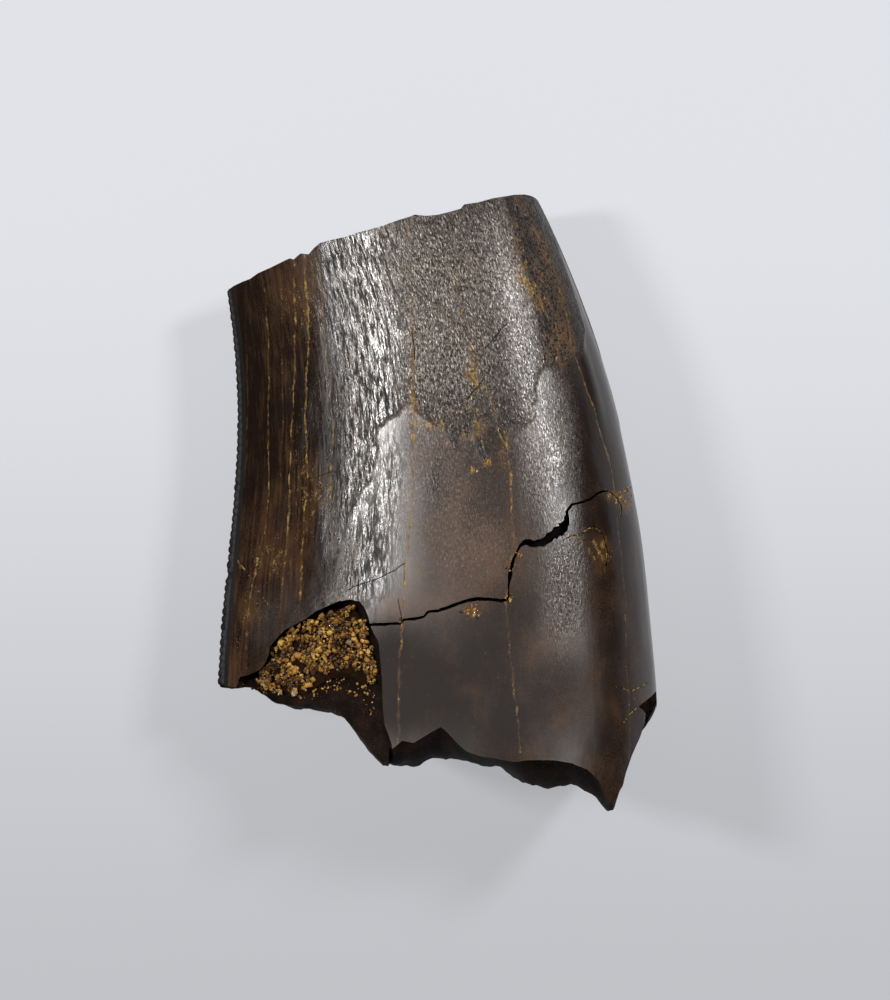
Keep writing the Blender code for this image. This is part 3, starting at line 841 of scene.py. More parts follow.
def roughen(tooth, settings):
    """Moves the points of the crown's sides out to the enamel's real surface."""
    data = tooth.data
    points = vectors_of(data.vertices, "co")
    normals = vectors_of(data.vertex_normals, "vector")
    on_sides = np.zeros(len(points), bool)
    for polygon in data.polygons:
        if polygon.material_index in (ENAMEL, CARINA):
            on_sides[list(polygon.vertices)] = True
    places = points[on_sides]
    fields = surface_fields(places)
    moves = relief(places, fields, settings) + denticle_relief(fields, settings)
    points[on_sides] = places + normals[on_sides] * moves[:, None]
    points[:, 2] = np.maximum(points[:, 2], 0.0)
    data.vertices.foreach_set("co", points.ravel().astype(np.float32))
    data.update()


def evenly(outline, count):
    """Points evenly spaced along a closed outline."""
    closed = np.array(outline + outline[:1], float)
    walked = np.concatenate([[0.0], np.cumsum(np.linalg.norm(np.diff(closed, axis=0), axis=1))])
    stops = np.linspace(0.0, walked[-1], count, endpoint=False)
    return np.stack([np.interp(stops, walked, closed[:, 0]), np.interp(stops, walked, closed[:, 1])], axis=-1)


def finely(line, step):
    """The rows of a table of points and sizes, filled in so that they lie about this many pixels apart."""
    line = np.array(line, float)
    walked = np.concatenate([[0.0], np.cumsum(np.hypot(*np.diff(line[:, :2], axis=0).T))])
    stops = np.linspace(0.0, walked[-1], max(3, int(walked[-1] / step) + 1))
    return np.stack([np.interp(stops, walked, column) for column in line.T], axis=-1)


def raised(places, height_of):
    """Points over places of the photograph, at the height given for each point of the near face."""
    points = near_face(places[:, 0], places[:, 1])
    points[:, 2] = height_of(points)
    return points


def skin_over(shell, ring, outline, middle, rings, height_of, material=0):
    """Faces that close a ring of points, in rings that shrink to one point over the middle."""
    for number in range(1, rings):
        inwards = (number / rings) ** RIM_CROWDING
        places = outline + (np.array(middle) - outline) * inwards
        inner = shell.add_points(raised(places, lambda points: height_of(points, inwards)))
        shell.join(ring, inner, material)
        ring = inner
    (top,) = shell.add_points(raised(np.array([middle], float), lambda points: height_of(points, 1.0)))
    for place in range(len(ring)):
        shell.add_face([ring[place], ring[(place + 1) % len(ring)], top], material)


def hollow_depth(points):
    """How deep the hollow is: deepest under its upper left wall, and shallow at the right and at its foot."""
    columns, rows = photo_place(points)
    deeper = (HOLLOW_DEPTH - HOLLOW_SHALLOW) * ramp(columns, *HOLLOW_RIGHT)
    return HOLLOW_SHALLOW + deeper * ramp(rows, *HOLLOW_FOOT)


def floor_lumps(points, coarse, fine, coarse_size, fine_size):
    """The coarse and fine lumps of a broken floor."""
    return coarse * smooth_noise(points, coarse_size) + fine * smooth_noise(points, fine_size, 2.0, 2)


def hollow_floor(points, inwards):
    """The height of the hollow's floor, which drops to its full depth just inside its rim."""
    depth = hollow_depth(points)
    share = HOLLOW_RIM_SHARE + (1.0 - HOLLOW_RIM_SHARE) * min(1.0, inwards / HOLLOW_WALL_SHARE)
    return points[:, 2] - depth * (share + floor_lumps(points, *HOLLOW_LUMPS))


def chip_floor(points, inwards):
    """The height of the chip's shelf, just over the crown's middle depth."""
    rows = photo_place(points)[1]
    return middle_height(rows) + CHIP_SHELF + floor_lumps(points, *CHIP_LUMPS)


def make_pit_cutter(name, outline, middle, floor_of, grid, material):
    """A cutter that takes away everything over a floor, inside an outline."""
    shell = Shell()
    count, rings = grid
    over_all = BASE_DEPTH_NEAR + BASE_DEPTH_FAR + 2.0 * MM
    places = evenly(outline, count)
    top = shell.add_points(raised(places, lambda points: over_all))
    rim = shell.add_points(raised(places, lambda points: floor_of(points, 0.0)))
    shell.add_face(top)
    shell.join(top, rim)
    skin_over(shell, rim, places, middle, rings, floor_of)
    return shell.to_object(name, [material])


def add_crack(shell, line, depth, bottom_share):
    """A closed ribbon along a crack, as wide as the crack at the face and narrower at its bottom."""
    line = finely(line, CRACK_STEP)
    ahead = np.gradient(line[:, :2], axis=0)
    sideways = np.stack([-ahead[:, 1], ahead[:, 0]], axis=-1) / np.linalg.norm(ahead, axis=1)[:, None]
    middle = near_face(line[:, 0], line[:, 1])
    rings = []
    sides = ((1, CUT_LIFT, 1.0), (-1, CUT_LIFT, 1.0), (-1, -depth, bottom_share), (1, -depth, bottom_share))
    for side, lift, share in sides:
        jag = 1.0 + CRACK_JAG * smooth_noise(middle, 0.18 * MM, 3.0 * side, 2)
        places = line[:, :2] + sideways * (0.5 * side * share * line[:, 2] * jag)[:, None]
        points = near_face(places[:, 0], places[:, 1])
        points[:, 2] += lift
        rings.append(shell.add_points(points))
    for place in range(len(line) - 1):
        for ring, beside in zip(rings, rings[1:] + rings[:1]):
            shell.add_face([ring[place], ring[place + 1], beside[place + 1], beside[place]])
    shell.add_face([ring[0] for ring in rings])
    shell.add_face([ring[-1] for ring in rings])


def make_crack_cutter(name, lines, depth, bottom_share, material):
    """A cutter that opens cracks of one depth."""
    shell = Shell()
    for line in lines:
        add_crack(shell, line, depth, bottom_share)
    return shell.to_object(name, [material])


def with_width(cracks):
    """The same cracks with their one width written beside each of their points."""
    return [[(column, row, width) for column, row in points] for width, points in cracks]


def cut_all(tooth, cutters):
    """Takes the cutters' shapes out of the tooth for good, and removes the cutters."""
    for cutter in cutters:
        boolean = tooth.modifiers.new(cutter.name, "BOOLEAN")
        boolean.operation = "DIFFERENCE"
        boolean.solver = "EXACT"
        boolean.material_mode = "TRANSFER"
        boolean.object = cutter
    graph = bpy.context.evaluated_depsgraph_get()
    cut_mesh = bpy.data.meshes.new_from_object(tooth.evaluated_get(graph), depsgraph=graph)
    tooth.modifiers.clear()
    whole = tooth.data
    tooth.data = cut_mesh
    bpy.data.meshes.remove(whole)
    for cutter in cutters:
        data = cutter.data
        bpy.data.objects.remove(cutter)
        bpy.data.meshes.remove(data)


def write_attributes(obj, fields):
    """Stores numbers or vectors at each vertex of an object, for its materials to read."""
    for name, values in fields.items():
        kind, key = ("FLOAT", "value") if values.ndim == 1 else ("FLOAT_VECTOR", "vector")
        stored = obj.data.attributes.new(name, kind, "POINT")
        stored.data.foreach_set(key, values.astype(np.float32).ravel())


def paint_fields(tooth):
    """Writes the surface's fields where its materials can read them, in millimetres where they are sizes."""
    points = vectors_of(tooth.data.vertices, "co")
    fields = surface_fields(points)
    columns, across = fields["columns"], fields["across"]
    painted = {name: fields[name] for name in PAINTED_FIELDS}
    painted["rear"] = across / MM
    painted["left"] = 1.0 - ramp(columns, *LEFT_COLUMNS)
    painted["glassy"] = ramp(columns, *GLASSY_COLUMNS)
    flat = np.clip(patches(columns, fields["rows"], FLAT_PATCHES), 0.0, 1.0)
    painted["flat"] = flat
    painted["granular"] = 0.04 + 0.8 * ramp(columns, *GRANULAR_COLUMNS) * (1.0 - 0.9 * flat)
    painted["streaky"] = 1.0 - 0.8 * ramp(columns, *STREAKY_COLUMNS)
    painted["grain"] = np.stack([across, points[:, 1], 0.5 * fields["height"]], axis=-1) / MM
    write_attributes(tooth, painted)


def icosphere():
    """The corners and faces of a small round body of radius 1."""
    mesh = bmesh.new()
    bmesh.ops.create_icosphere(mesh, subdivisions=2, radius=1.0)
    points = np.array([vert.co[:] for vert in mesh.verts])
    faces = [[vert.index for vert in face.verts] for face in mesh.faces]
    mesh.free()
    return points, faces


def sand_bed_top(points, inwards):
    """The height of the cement between the grains, which fills most of the hollow and dips to its rim."""
    dip = 0.5 * (1.0 - min(1.0, inwards * 4.0))
    lumps = 0.1 * MM * smooth_noise(points, 0.4 * MM, 4.4, 2)
    return points[:, 2] - hollow_depth(points) * (SAND_SUNK_SHARE + dip * (1.0 - SAND_SUNK_SHARE)) + lumps


def sand_bed_underside(points, inwards=1.0):
    """A little over the hollow's floor."""
    return points[:, 2] - hollow_depth(points) * 1.05


def add_sand_bed(shell):
    """The dark cement that the grains are set in."""
    places = evenly(SAND, SAND_POINTS)
    upper = shell.add_points(raised(places, lambda points: sand_bed_top(points, 0.0)))
    lower = shell.add_points(raised(places, sand_bed_underside))
    shell.join(upper, lower, CEMENT)
    skin_over(shell, upper, places, SAND_MIDDLE, SAND_RINGS, sand_bed_top, CEMENT)
    skin_over(shell, lower, places, SAND_MIDDLE, 3, sand_bed_underside, CEMENT)


def scattered(random, outline, count, sizes, closeness, thinning=0.0):
    """Places inside an outline, with a radius each in pixels, that overlap no more than is allowed."""
    corners = np.array(outline, float)
    low, high = corners.min(axis=0), corners.max(axis=0)
    tries = low + (high - low) * random.random((count, 2))
    inside = inside_distance(tries[:, 0], tries[:, 1], outline)
    holes = smooth_noise(near_face(tries[:, 0], tries[:, 1]), HOLE_SIZE, 9.4, 2)
    filled = np.clip(inside / SAND_EDGE, 0.0, 1.0) + HOLE_DEPTH * holes - HOLE_SHARE
    dense = filled > (thinning - 1.0) * 0.5 + random.random(count) * 0.3
    tries = tries[(inside > 0.5) & (dense | (thinning == 0.0))]
    radii = sizes[0] + (sizes[1] - sizes[0]) * random.random(len(tries)) ** FEWER_LARGE
    kept = np.zeros((0, 3))
    for (column, row), radius in zip(tries, radii):
        gaps = np.hypot(kept[:, 0] - column, kept[:, 1] - row) - closeness * (kept[:, 2] + radius)
        if not (gaps < 0.0).any():
            kept = np.concatenate([kept, [(column, row, radius)]])
    return kept


def add_grain(shell, body, middle, radius, random, material):
    """One irregular grain of sand."""
    points, faces = body
    stretch = np.exp(random.normal(size=3) * GRAIN_UNEVEN)
    turn = np.linalg.qr(random.normal(size=(3, 3)))[0]
    shape = (points * stretch) @ turn.T
    bumps = 1.0 + 0.5 * smooth_noise(points + random.random(3) * 50.0, 0.8, 0.0, 2)
    numbers = shell.add_points(middle + radius * shape * bumps[:, None])
    for face in faces:
        shell.add_face([numbers[corner] for corner in face], material)


def add_grains(shell, body, places, height_of, random, tones):
    """Grains at places of the photograph, each with a tone of its own."""
    middles = raised(places[:, :2], height_of)
    mottle = 0.6 * smooth_noise(middles, 0.8 * MM, 6.1)
    for middle, radius, stain in zip(middles, places[:, 2] * PX, mottle):
        material = QUARTZ if random.random() < QUARTZ_SHARE else GRAIN
        add_grain(shell, body, middle, radius, random, material)
        tones.append(np.full(len(body[0]), random.random() + stain))


def grains_object(name, shell, materials, tones):
    """The object of a shell of grains, with a tone at each of its points."""
    made = shell.to_object(name, materials)
    write_attributes(made, {"grain_tone": np.concatenate(tones)})
    made.data.shade_smooth()
    return made


def make_sand(materials):
    """The cemented sand in the hollow: a dark bed set with grains."""
    random = np.random.default_rng(SAND_SEED)
    shell = Shell()
    body = icosphere()
    add_sand_bed(shell)
    tones = [np.full(len(shell.points), 0.5)]
    for count, sizes, closeness, lift, thinning in SAND_LAYERS:
        places = scattered(random, SAND_AREA, count, sizes, closeness, thinning)
        add_grains(shell, body, places, lambda points: sand_bed_top(points, 1.0) + lift, random, tones)
    strays = scattered(random, SAND_STRAYS, STRAY_TRIES, STRAY_RADII, STRAY_CLOSENESS)
    add_grains(shell, body, strays, lambda points: points[:, 2] - hollow_depth(points), random, tones)
    return grains_object("sand_matrix_grains", shell, materials, tones)


def make_crumbs(materials):
    """Loose grains of the same sand that still stick to the enamel and in the crack."""
    random = np.random.default_rng(CRUMB_SEED)
    shell = Shell()
    body = icosphere()
    tones = []
    for column, row, reach, count, largest in CRUMBS:
        offsets = random.normal(size=(count, 2)) * reach * 0.5
        radii = CRUMB_LEAST + (largest - CRUMB_LEAST) * random.random(count)
        places = np.column_stack([column + offsets[:, 0], row + offsets[:, 1], radii])
        add_grains(shell, body, places, lambda points: points[:, 2] + 0.01 * MM, random, tones)
    return grains_object("sand_crumbs", shell, materials, tones)


def linear(code):
    """A colour for Blender from its sRGB hex code."""
    parts = [int(code[place:place + 2], 16) / 255.0 for place in (1, 3, 5)]
    light = [part / 12.92 if part <= 0.04045 else ((part + 0.055) / 1.055) ** 2.4 for part in parts]
    return (*light, 1.0)


class Value:
    """A number, colour or vector that comes out of a material's node, and that sums can be done with."""

    def __init__(self, socket):
        self.socket = socket
        self.tree = socket.id_data

    def __add__(self, other):
        return calculate("ADD", self, other)

    def __sub__(self, other):
        return calculate("SUBTRACT", self, other)

    def __rsub__(self, other):
        return calculate("SUBTRACT", other, self)

    def __mul__(self, other):
        return calculate("MULTIPLY", self, other)

    def __truediv__(self, other):
        return calculate("DIVIDE", self, other)

    def __abs__(self):
        return calculate("ABSOLUTE", self)


def fill(tree, node, inputs):
    """Gives each input of a node a value or a link."""
    for name, value in inputs.items():
        if isinstance(value, Value):
            tree.links.new(value.socket, node.inputs[name])
        else:
            node.inputs[name].default_value = value


def add_node(tree, kind, inputs=None, output=0, **settings):
    """Adds a node with its settings and inputs, and returns the value that comes out of it."""
    made = tree.nodes.new(kind)
    for name, value in settings.items():
        setattr(made, name, value)
    fill(tree, made, inputs or {})
    return Value(made.outputs[output])


def tree_of(values):
    """The tree of the nodes that some values come from, where plain numbers may stand among them."""
    return next(value.tree for value in values if isinstance(value, Value))


def attribute(tree, name, output="Fac"):
    """A field that is stored at the mesh's vertices."""
    return add_node(tree, "ShaderNodeAttribute", output=output, attribute_name=name)


def calculate(operation, *values, clamp=False):
    """The result of a sum of numbers, at least one of which comes out of a node."""
    inputs = dict(enumerate(values))
    return add_node(tree_of(values), "ShaderNodeMath", inputs, operation=operation, use_clamp=clamp)


def larger(first, second, clamp=False):
    """The larger of two numbers."""
    return calculate("MAXIMUM", first, second, clamp=clamp)


def blend(share, low, high):
    """A colour between two colours."""
    inputs = {0: share, 6: low, 7: high}
    return add_node(share.tree, "ShaderNodeMix", inputs, 2, data_type="RGBA")


def blend_value(share, low, high):
    """A number between two numbers."""
    return add_node(share.tree, "ShaderNodeMix", {0: share, 2: low, 3: high}, data_type="FLOAT")


def spread(value, low, high, start=0.0, end=1.0):
    """A value brought from one span to another, with a smooth start and end."""
    inputs = {0: value, 1: low, 2: high, 3: start, 4: end}
    return add_node(value.tree, "ShaderNodeMapRange", inputs, interpolation_type="SMOOTHSTEP")


def scaled(place, sizes):
    """A place divided by the sizes of a texture's features."""
    inputs = {0: place, 1: tuple(1.0 / size for size in sizes)}
    return add_node(place.tree, "ShaderNodeVectorMath", inputs, operation="MULTIPLY")


def noise_value(place, sizes, detail=2.0, roughness=0.5, output="Fac"):
    """Smooth noise whose features have these sizes."""
    inputs = {"Vector": scaled(place, sizes), "Scale": 1.0, "Detail": detail, "Roughness": roughness}
    return add_node(place.tree, "ShaderNodeTexNoise", inputs, output)


def cells(place, sizes, feature):
    """A distance inside irregular cells of these sizes: to the cell's middle, or to its nearest edge."""
    inputs = {"Vector": scaled(place, sizes), "Scale": 1.0, "Randomness": 1.0}
    return add_node(place.tree, "ShaderNodeTexVoronoi", inputs, "Distance", feature=feature)


def bump(height, strength, distance, normal=None):
    """The direction that the surface faces, once a texture's heights are added to it."""
    inputs = {"Height": height, "Strength": strength, "Distance": distance}
    if normal is not None:
        inputs["Normal"] = normal
    return add_node(height.tree, "ShaderNodeBump", inputs)


def new_material(name):
    """A material with its tree, which holds only the shader and the output."""
    made = bpy.data.materials.new(name)
    made.use_nodes = True
    return made, made.node_tree


def set_inputs(tree, inputs):
    """Gives the material's shader its colour and the rest."""
    fill(tree, tree.nodes["Principled BSDF"], inputs)


def object_millimetres(tree):
    """The place of each point in millimetres, in the object's own frame."""
    return scaled(add_node(tree, "ShaderNodeTexCoord", output="Object"), (MM, MM, MM))


def seam_line(tree, grain):
    """How near each place is to a lengthwise seam, with the seam's own strength there."""
    distance = abs(attribute(tree, "seam"))
    uneven = noise_value(grain, (0.12, 0.35, 0.5), 3.0, 0.6)
    reach = spread(uneven, 0.40, 0.62, 0.06, 0.9)
    closeness = spread(distance / reach, 1.0, 0.3)
    return calculate("MULTIPLY", closeness, attribute(tree, "seam_strength"), clamp=True)


def warped(grain, amount):
    """The texture's places, shifted a little so that its lines wander."""
    warp = noise_value(grain, (0.2, 0.3, 0.3), output="Color")
    shift = add_node(grain.tree, "ShaderNodeVectorMath", {0: warp, 1: (-0.5, -0.5, -0.5)}, operation="ADD")
    inputs = {0: shift, 1: (amount, amount, 0.0), 2: grain}
    return add_node(grain.tree, "ShaderNodeVectorMath", inputs, operation="MULTIPLY_ADD")


def bark(place, sizes):
    """The distance to thin wandering lines, at the lines' own sizes: 0 on a line and larger between two."""
    return abs(noise_value(place, sizes, 2.0, 0.5) - 0.5)


def grooves(tree, grain):
    """The enamel's grooves, long at the rear and netted towards the front, and the ridges between them."""
    place = warped(grain, 0.16)
    ridges = bark(place, (0.095, 0.42, 0.35))
    long_lines = spread(bark(place, (0.2, 1.6, 0.6)), 0.09, 0.0)
    short_lines = spread(ridges, 0.07, 0.0)
    netted = spread(cells(place, (0.12, 0.3, 0.3), "DISTANCE_TO_EDGE"), 0.2, 0.02)
    rear = larger(long_lines, short_lines * 0.6)
    front = larger(short_lines, netted * 0.5) * spread(attribute(tree, "flat"), 0.0, 1.0, 1.0, 0.8)
    return blend_value(attribute(tree, "left"), front, rear), ridges


def ochre_dust(tree, grain, skin, specks):
    """Where ochre dust lies on the enamel: thick in the seams, and scattered over the dusty patches."""
    seams = seam_line(tree, grain)
    rim = spread(abs(skin), 1.5, 0.2, 0.0, 0.4)
    blotches = spread(noise_value(grain, (0.22, 0.5, 0.5), 4.0, 0.6), 0.38, 0.64, 0.2, 1.5)
    density = (attribute(tree, "ochre") + seams + rim) * blotches
    return seams, spread(specks - (0.80 - density * 0.4), 0.0, 0.07)


def cell_pits(grain):
    """1 in small round pits and 0 between them."""
    return spread(cells(warped(grain, 0.05), (0.14, 0.16, 0.3), "F1"), 0.5, 0.32)


def enamel_body(tree, settings, grain, textures):
    """The enamel's colour without its dust: dark brown, streaked and clouded, with a pale frosting where it
    weathered that also serves as painted sheen, and dotted with painted glint spots.
    """
    streaks, granules, specks, clouds = textures
    streaky = attribute(tree, "streaky")
    lightness = attribute(tree, "tone") + clouds * 0.8 + streaks * streaky * 0.5 + (specks - 0.5) * 0.9
    body = blend(spread(lightness, 0.2, 1.4), settings.enamel_dark, settings.enamel_light)
    warm = attribute(tree, "ochre") * 0.5 + ((streaks - 0.5) * (streaky * 1.6) + clouds)
    body = blend(spread(warm, 0.52, 1.1, 0.0, 0.8), body, linear(ENAMEL_WARM))
    # Pale frosting, partly weathering and partly painted sheen on the highlight bands.
    frost_and_sheen_share = attribute(tree, "frost_and_sheen")
    frost_and_sheen = calculate("MULTIPLY", spread(granules + specks * 0.5, 0.60, 0.90), frost_and_sheen_share, clamp=True)
    body = blend(frost_and_sheen, body, linear(FROST_AND_SHEEN_COLOUR))
    # Painted highlight: pale glint spots dotted over the frosting.
    painted_glints = spread(noise_value(grain, (0.06, 0.16, 0.1), 2.0, 0.6), 0.54, 0.67)
    painted_glints = calculate("MULTIPLY", painted_glints, frost_and_sheen_share, clamp=True)
    return blend(painted_glints * 0.9, body, linear(PAINTED_GLINT_COLOUR))


def fossil_enamel(settings):
    """Fossil tooth enamel, mineral-filled and dark brown, worn by burial and not polished: glassy plates
    between fine grooves, so it is nearly black away from the lamps and glitters white where it faces them.
    Painted glint spots and painted sheen add to the glitter, and painted shade blackens its grooves, pits
    and rear edge."""
    made, tree = new_material("fossil enamel")
    grain = attribute(tree, "grain", "Vector")
    skin, worn = attribute(tree, "skin"), attribute(tree, "worn")
    streaks = noise_value(grain, (0.13, 2.4, 1.0), 4.0, 0.65)
    granules = noise_value(grain, (0.10, 0.16, 0.1), 2.0, 0.5)
    specks = noise_value(grain, (0.045, 0.07, 0.06), 2.0, 0.6)
    plates = noise_value(grain, (0.28, 0.5, 0.4), 2.0, 0.5)
    clouds = noise_value(grain, (1.3, 2.0, 2.0), 4.0, 0.6)
    over_skin = spread(skin, -0.8, 0.8) * attribute(tree, "skin_fade")
    glassy = spread(attribute(tree, "glassy") + (streaks - 0.5) * 1.8, 0.2, 0.8)
    grainy = larger(over_skin, attribute(tree, "grainy"), clamp=True) * larger(glassy, 0.12)
    lines, ridges = grooves(tree, grain)
    lines = lines * larger(grainy, over_skin * 0.4)

    body = enamel_body(tree, settings, grain, (streaks, granules, specks, clouds))
    pitted = spread(attribute(tree, "pitted"), -2.0, 3.0)
    pitted_body = blend(spread(clouds, 0.35, 0.7), linear(PITTED_DARK), linear(PITTED_LIGHT))
    body = blend(pitted * 0.85, body, pitted_body)
    # Pale scuffs of wear, in the frosting's colour.
    scratches = noise_value(grain, (0.12, 0.16, 0.2), 3.0, 0.6)
    scuffs = spread(scratches, 0.66, 0.8, 0.0, 0.3) * spread(worn, 0.1, 0.6)
    body = blend(scuffs, body, linear(FROST_AND_SHEEN_COLOUR))
    # Painted shade: the grooves and pits are coloured black for the shade in them.
    gaps = larger(lines * 0.9, cell_pits(grain) * pitted)
    body = blend(gaps, body, linear(SHADE_BLACK))
    seams, dust = ochre_dust(tree, grain, skin, specks)
    body = blend(seams * 0.8, body, linear(SEAM_BROWN))
    ochre = blend(spread(granules, 0.45, 0.7), linear(OCHRE_DUST), linear(OCHRE_SEAM))
    body = blend(dust * 0.85, body, ochre)
    # Painted shade: the enamel turns black along the rear edge, which faces away from the lamps.
    body = blend(spread(attribute(tree, "rear"), 0.42, 0.12, 0.0, 0.95), body, linear(SHADE_BLACK))

    granular = attribute(tree, "granular")
    coarse = grainy * granular + 0.06
    normal = bump(plates, 1.0, PLATE_BUMP)
    normal = bump(granules * coarse, 1.0, GRANULE_BUMP, normal)
    normal = bump(ridges * coarse, 1.0, RIDGE_BUMP, normal)
    normal = bump((1.0 - gaps) * granular, 1.0, settings.wrinkle_depth, normal)
    smooth = blend_value(attribute(tree, "left"), SMOOTH_ROUGHNESS, REAR_ROUGHNESS)
    smooth = blend_value(worn, smooth, WORN_ROUGHNESS)
    gloss = blend_value(grainy, smooth, GRAINY_ROUGHNESS) + specks * 0.06
    gloss = blend_value(larger(dust, gaps * glassy), gloss, 0.8)
    set_inputs(tree, {"Base Color": body, "Roughness": gloss, "Normal": normal, "IOR": ENAMEL_IOR})
    return made


def denticle_enamel():
    """Worn enamel of the rear edge and its denticles: nearly black, with a dull gleam; the black is painted
    shade over the enamel's own dark brown.
    """
    made, tree = new_material("worn denticle enamel")
    mottle = noise_value(attribute(tree, "grain", "Vector"), (0.12, 0.2, 0.2), 3.0, 0.6)
    # Painted shade: mottled between black and the darkest enamel.
    body = blend(spread(mottle, 0.45, 0.75), linear(SHADE_BLACK), linear(ENAMEL_DARK))
    set_inputs(tree, {"Base Color": body, "Roughness": 0.5, "Specular IOR Level": 0.2})
    return made


def broken_dentine():
    """Mineral-filled dentine on a fresh old break: dull, dark chocolate brown and faintly grainy, and near
    black in part as painted shade.
    """
    made, tree = new_material("broken dentine")
    place = object_millimetres(tree)
    clouds = noise_value(place, (0.9, 0.9, 0.9), 5.0, 0.6)
    specks = noise_value(place, (0.07, 0.07, 0.07), 2.0, 0.5)
    body = blend(spread(clouds, 0.3, 0.75), linear(DENTINE_DARK), linear(DENTINE_LIGHT))
    body = blend(spread(specks, 0.62, 0.78, 0.0, 0.5), body, linear(OCHRE_DUST))
    normal = bump(specks, 0.8, 0.008 * MM, bump(clouds, 0.6, 0.05 * MM))
    dull = {"Roughness": 0.7, "Specular IOR Level": DULL_SPECULAR}
    set_inputs(tree, {"Base Color": body, "Normal": normal, **dull})
    return made


def dull_lumps(name, size, span, colours, roughness, height=0.0):
    """A matt material whose colour changes from lump to lump, with lumps of this size and height."""
    made, tree = new_material(name)
    lumps = noise_value(object_millimetres(tree), (size, size, size), 3.0, 0.6)
    share = spread(lumps, *span) if span else lumps
    inputs = {"Base Color": blend(share, *map(linear, colours)), "Roughness": roughness}
    if height:
        inputs["Normal"] = bump(lumps, 1.0, height)
    set_inputs(tree, {**inputs, "Specular IOR Level": DULL_SPECULAR})
    return made


def crack_wall():
    """The walls of an open crack in enamel: nearly black, partly as painted shade in the crack, with earth on
    its ledges.
    """
    return dull_lumps("crack wall", 0.12, (0.56, 0.72), (CRACK_SHADE_BLACK, CRACK_EARTH), 0.8)


def ochre_filling():
    """Fine iron-stained clay that has settled in a hairline crack: matt yellow brown, broken by dark gaps."""
    return dull_lumps("ochre clay filling", 0.16, (0.42, 0.58), (CRACK_EARTH, OCHRE_SEAM), 0.8)


def cement():
    """Dark earth between sand grains, damp brown and matt."""
    return dull_lumps("earth cement", 0.1, None, (CEMENT_DARK, CEMENT_LIGHT), 0.85, 0.03 * MM)


def sand_grain(settings):
    """Iron-coated quartz sand, waxy and slightly rough, each grain a shade from golden to dark brown."""
    made, tree = new_material("iron-coated sand grain")
    specks = noise_value(object_millimetres(tree), (0.05, 0.05, 0.05), 2.0, 0.5)
    shade = attribute(tree, "grain_tone") + (specks - 0.5) * 0.5
    body = blend(spread(shade, 0.05, 0.75), settings.grain_dark, settings.grain_ochre)
    body = blend(spread(shade, 0.72, 1.0), body, settings.grain_pale)
    waxy = {"Roughness": 0.5, "Specular IOR Level": 0.35}
    set_inputs(tree, {"Base Color": body, "Normal": bump(specks, 0.7, 0.008 * MM), **waxy})
    return made


def quartz_grain():
    """Clear quartz sand without its iron coat: glassy, honey-tinted from the earth under it."""
    made, tree = new_material("clear quartz grain")
    glassy = {"Roughness": 0.12, "IOR": 1.54, "Transmission Weight": 0.75}
    set_inputs(tree, {"Base Color": linear(QUARTZ_HONEY), **glassy})
    return made


def studio_floor(settings):
    """Matt pale card on a light table, very slightly blue, with a painted shade that darkens it a little
    towards the front.
    """
    made, tree = new_material("pale studio card")
    along = add_node(tree, "ShaderNodeSeparateXYZ", {0: object_millimetres(tree)}, "Y")
    # Painted shade: the floor darkens towards the front.
    shade = tuple(part * FLOOR_PAINTED_FALLOFF for part in settings.floor_colour[:3]) + (1.0,)
    body = blend(spread(along, -24.0, 14.0), shade, settings.floor_colour)
    glow = {"Emission Color": body, "Emission Strength": FLOOR_GLOW}
    set_inputs(tree, {"Base Color": body, "Roughness": 0.9, "Specular IOR Level": 0.2, **glow})
    return made


def make_tooth(settings):
    """The crown between its two breaks, with its crack, chips and hollow cut into it."""
    materials = [fossil_enamel(settings), broken_dentine(), crack_wall(), ochre_filling(), denticle_enamel()]
    shell = Shell()
    near, far = crown_columns(shell)
    for number in range(len(near) - 1):
        side_faces(shell, near[number], near[number + 1], CARINA if number < CARINA_COLUMNS else ENAMEL)
    numbers = sorted(far)
    for number, after in zip(numbers, numbers[1:]):
        side_faces(shell, far[number], far[after], CARINA if after < CARINA_COLUMNS else ENAMEL)
    break_faces(shell, near, far, 0, BASE_CORE, BASE_ROUGHNESS)
    break_faces(shell, near, far, -1, TIP_CORE, TIP_ROUGHNESS)
    tooth = shell.to_object("fossil_tooth_crown", materials)
    roughen(tooth, settings)
    dentine, wall, ochre = materials[DENTINE], materials[CRACK_WALL], materials[OCHRE_FILL]
    cut_all(tooth, [
        make_pit_cutter("hollow_cutter", HOLLOW, HOLLOW_MIDDLE, hollow_floor, HOLLOW_GRID, dentine),
        make_pit_cutter("chip_cutter", CHIP, CHIP_MIDDLE, chip_floor, CHIP_GRID, dentine),
        make_crack_cutter("crack_cutter", [CRACK], settings.crack_depth, CRACK_BOTTOM, wall),
        make_crack_cutter("hairline_cutter", with_width(HAIRLINES), HAIRLINE_DEPTH, HAIRLINE_BOTTOM, wall),
        make_crack_cutter("ochre_cutter", with_width(OCHRE_CRACKS), OCHRE_CRACK_DEPTH, OCHRE_BOTTOM, ochre),
    ])
    paint_fields(tooth)
    tooth.data.shade_smooth()
    tooth.data.set_sharp_from_angle(angle=SHARP_ANGLE)
    return tooth


def add_lamp(name, place, size, radiance):
    """A soft rectangular lamp at a place, which faces the tooth."""
    data = bpy.data.lights.new(name, "AREA")
    data.shape = "RECTANGLE"
    data.size, data.size_y = size
    data.energy = radiance * math.pi * data.size * data.size_y
    lamp = place_object(name, data)
    lamp.location = place + Vector((0.0, 0.0, FOCUS_HEIGHT))
    lamp.rotation_euler = place.to_track_quat("Z", "Y").to_euler()


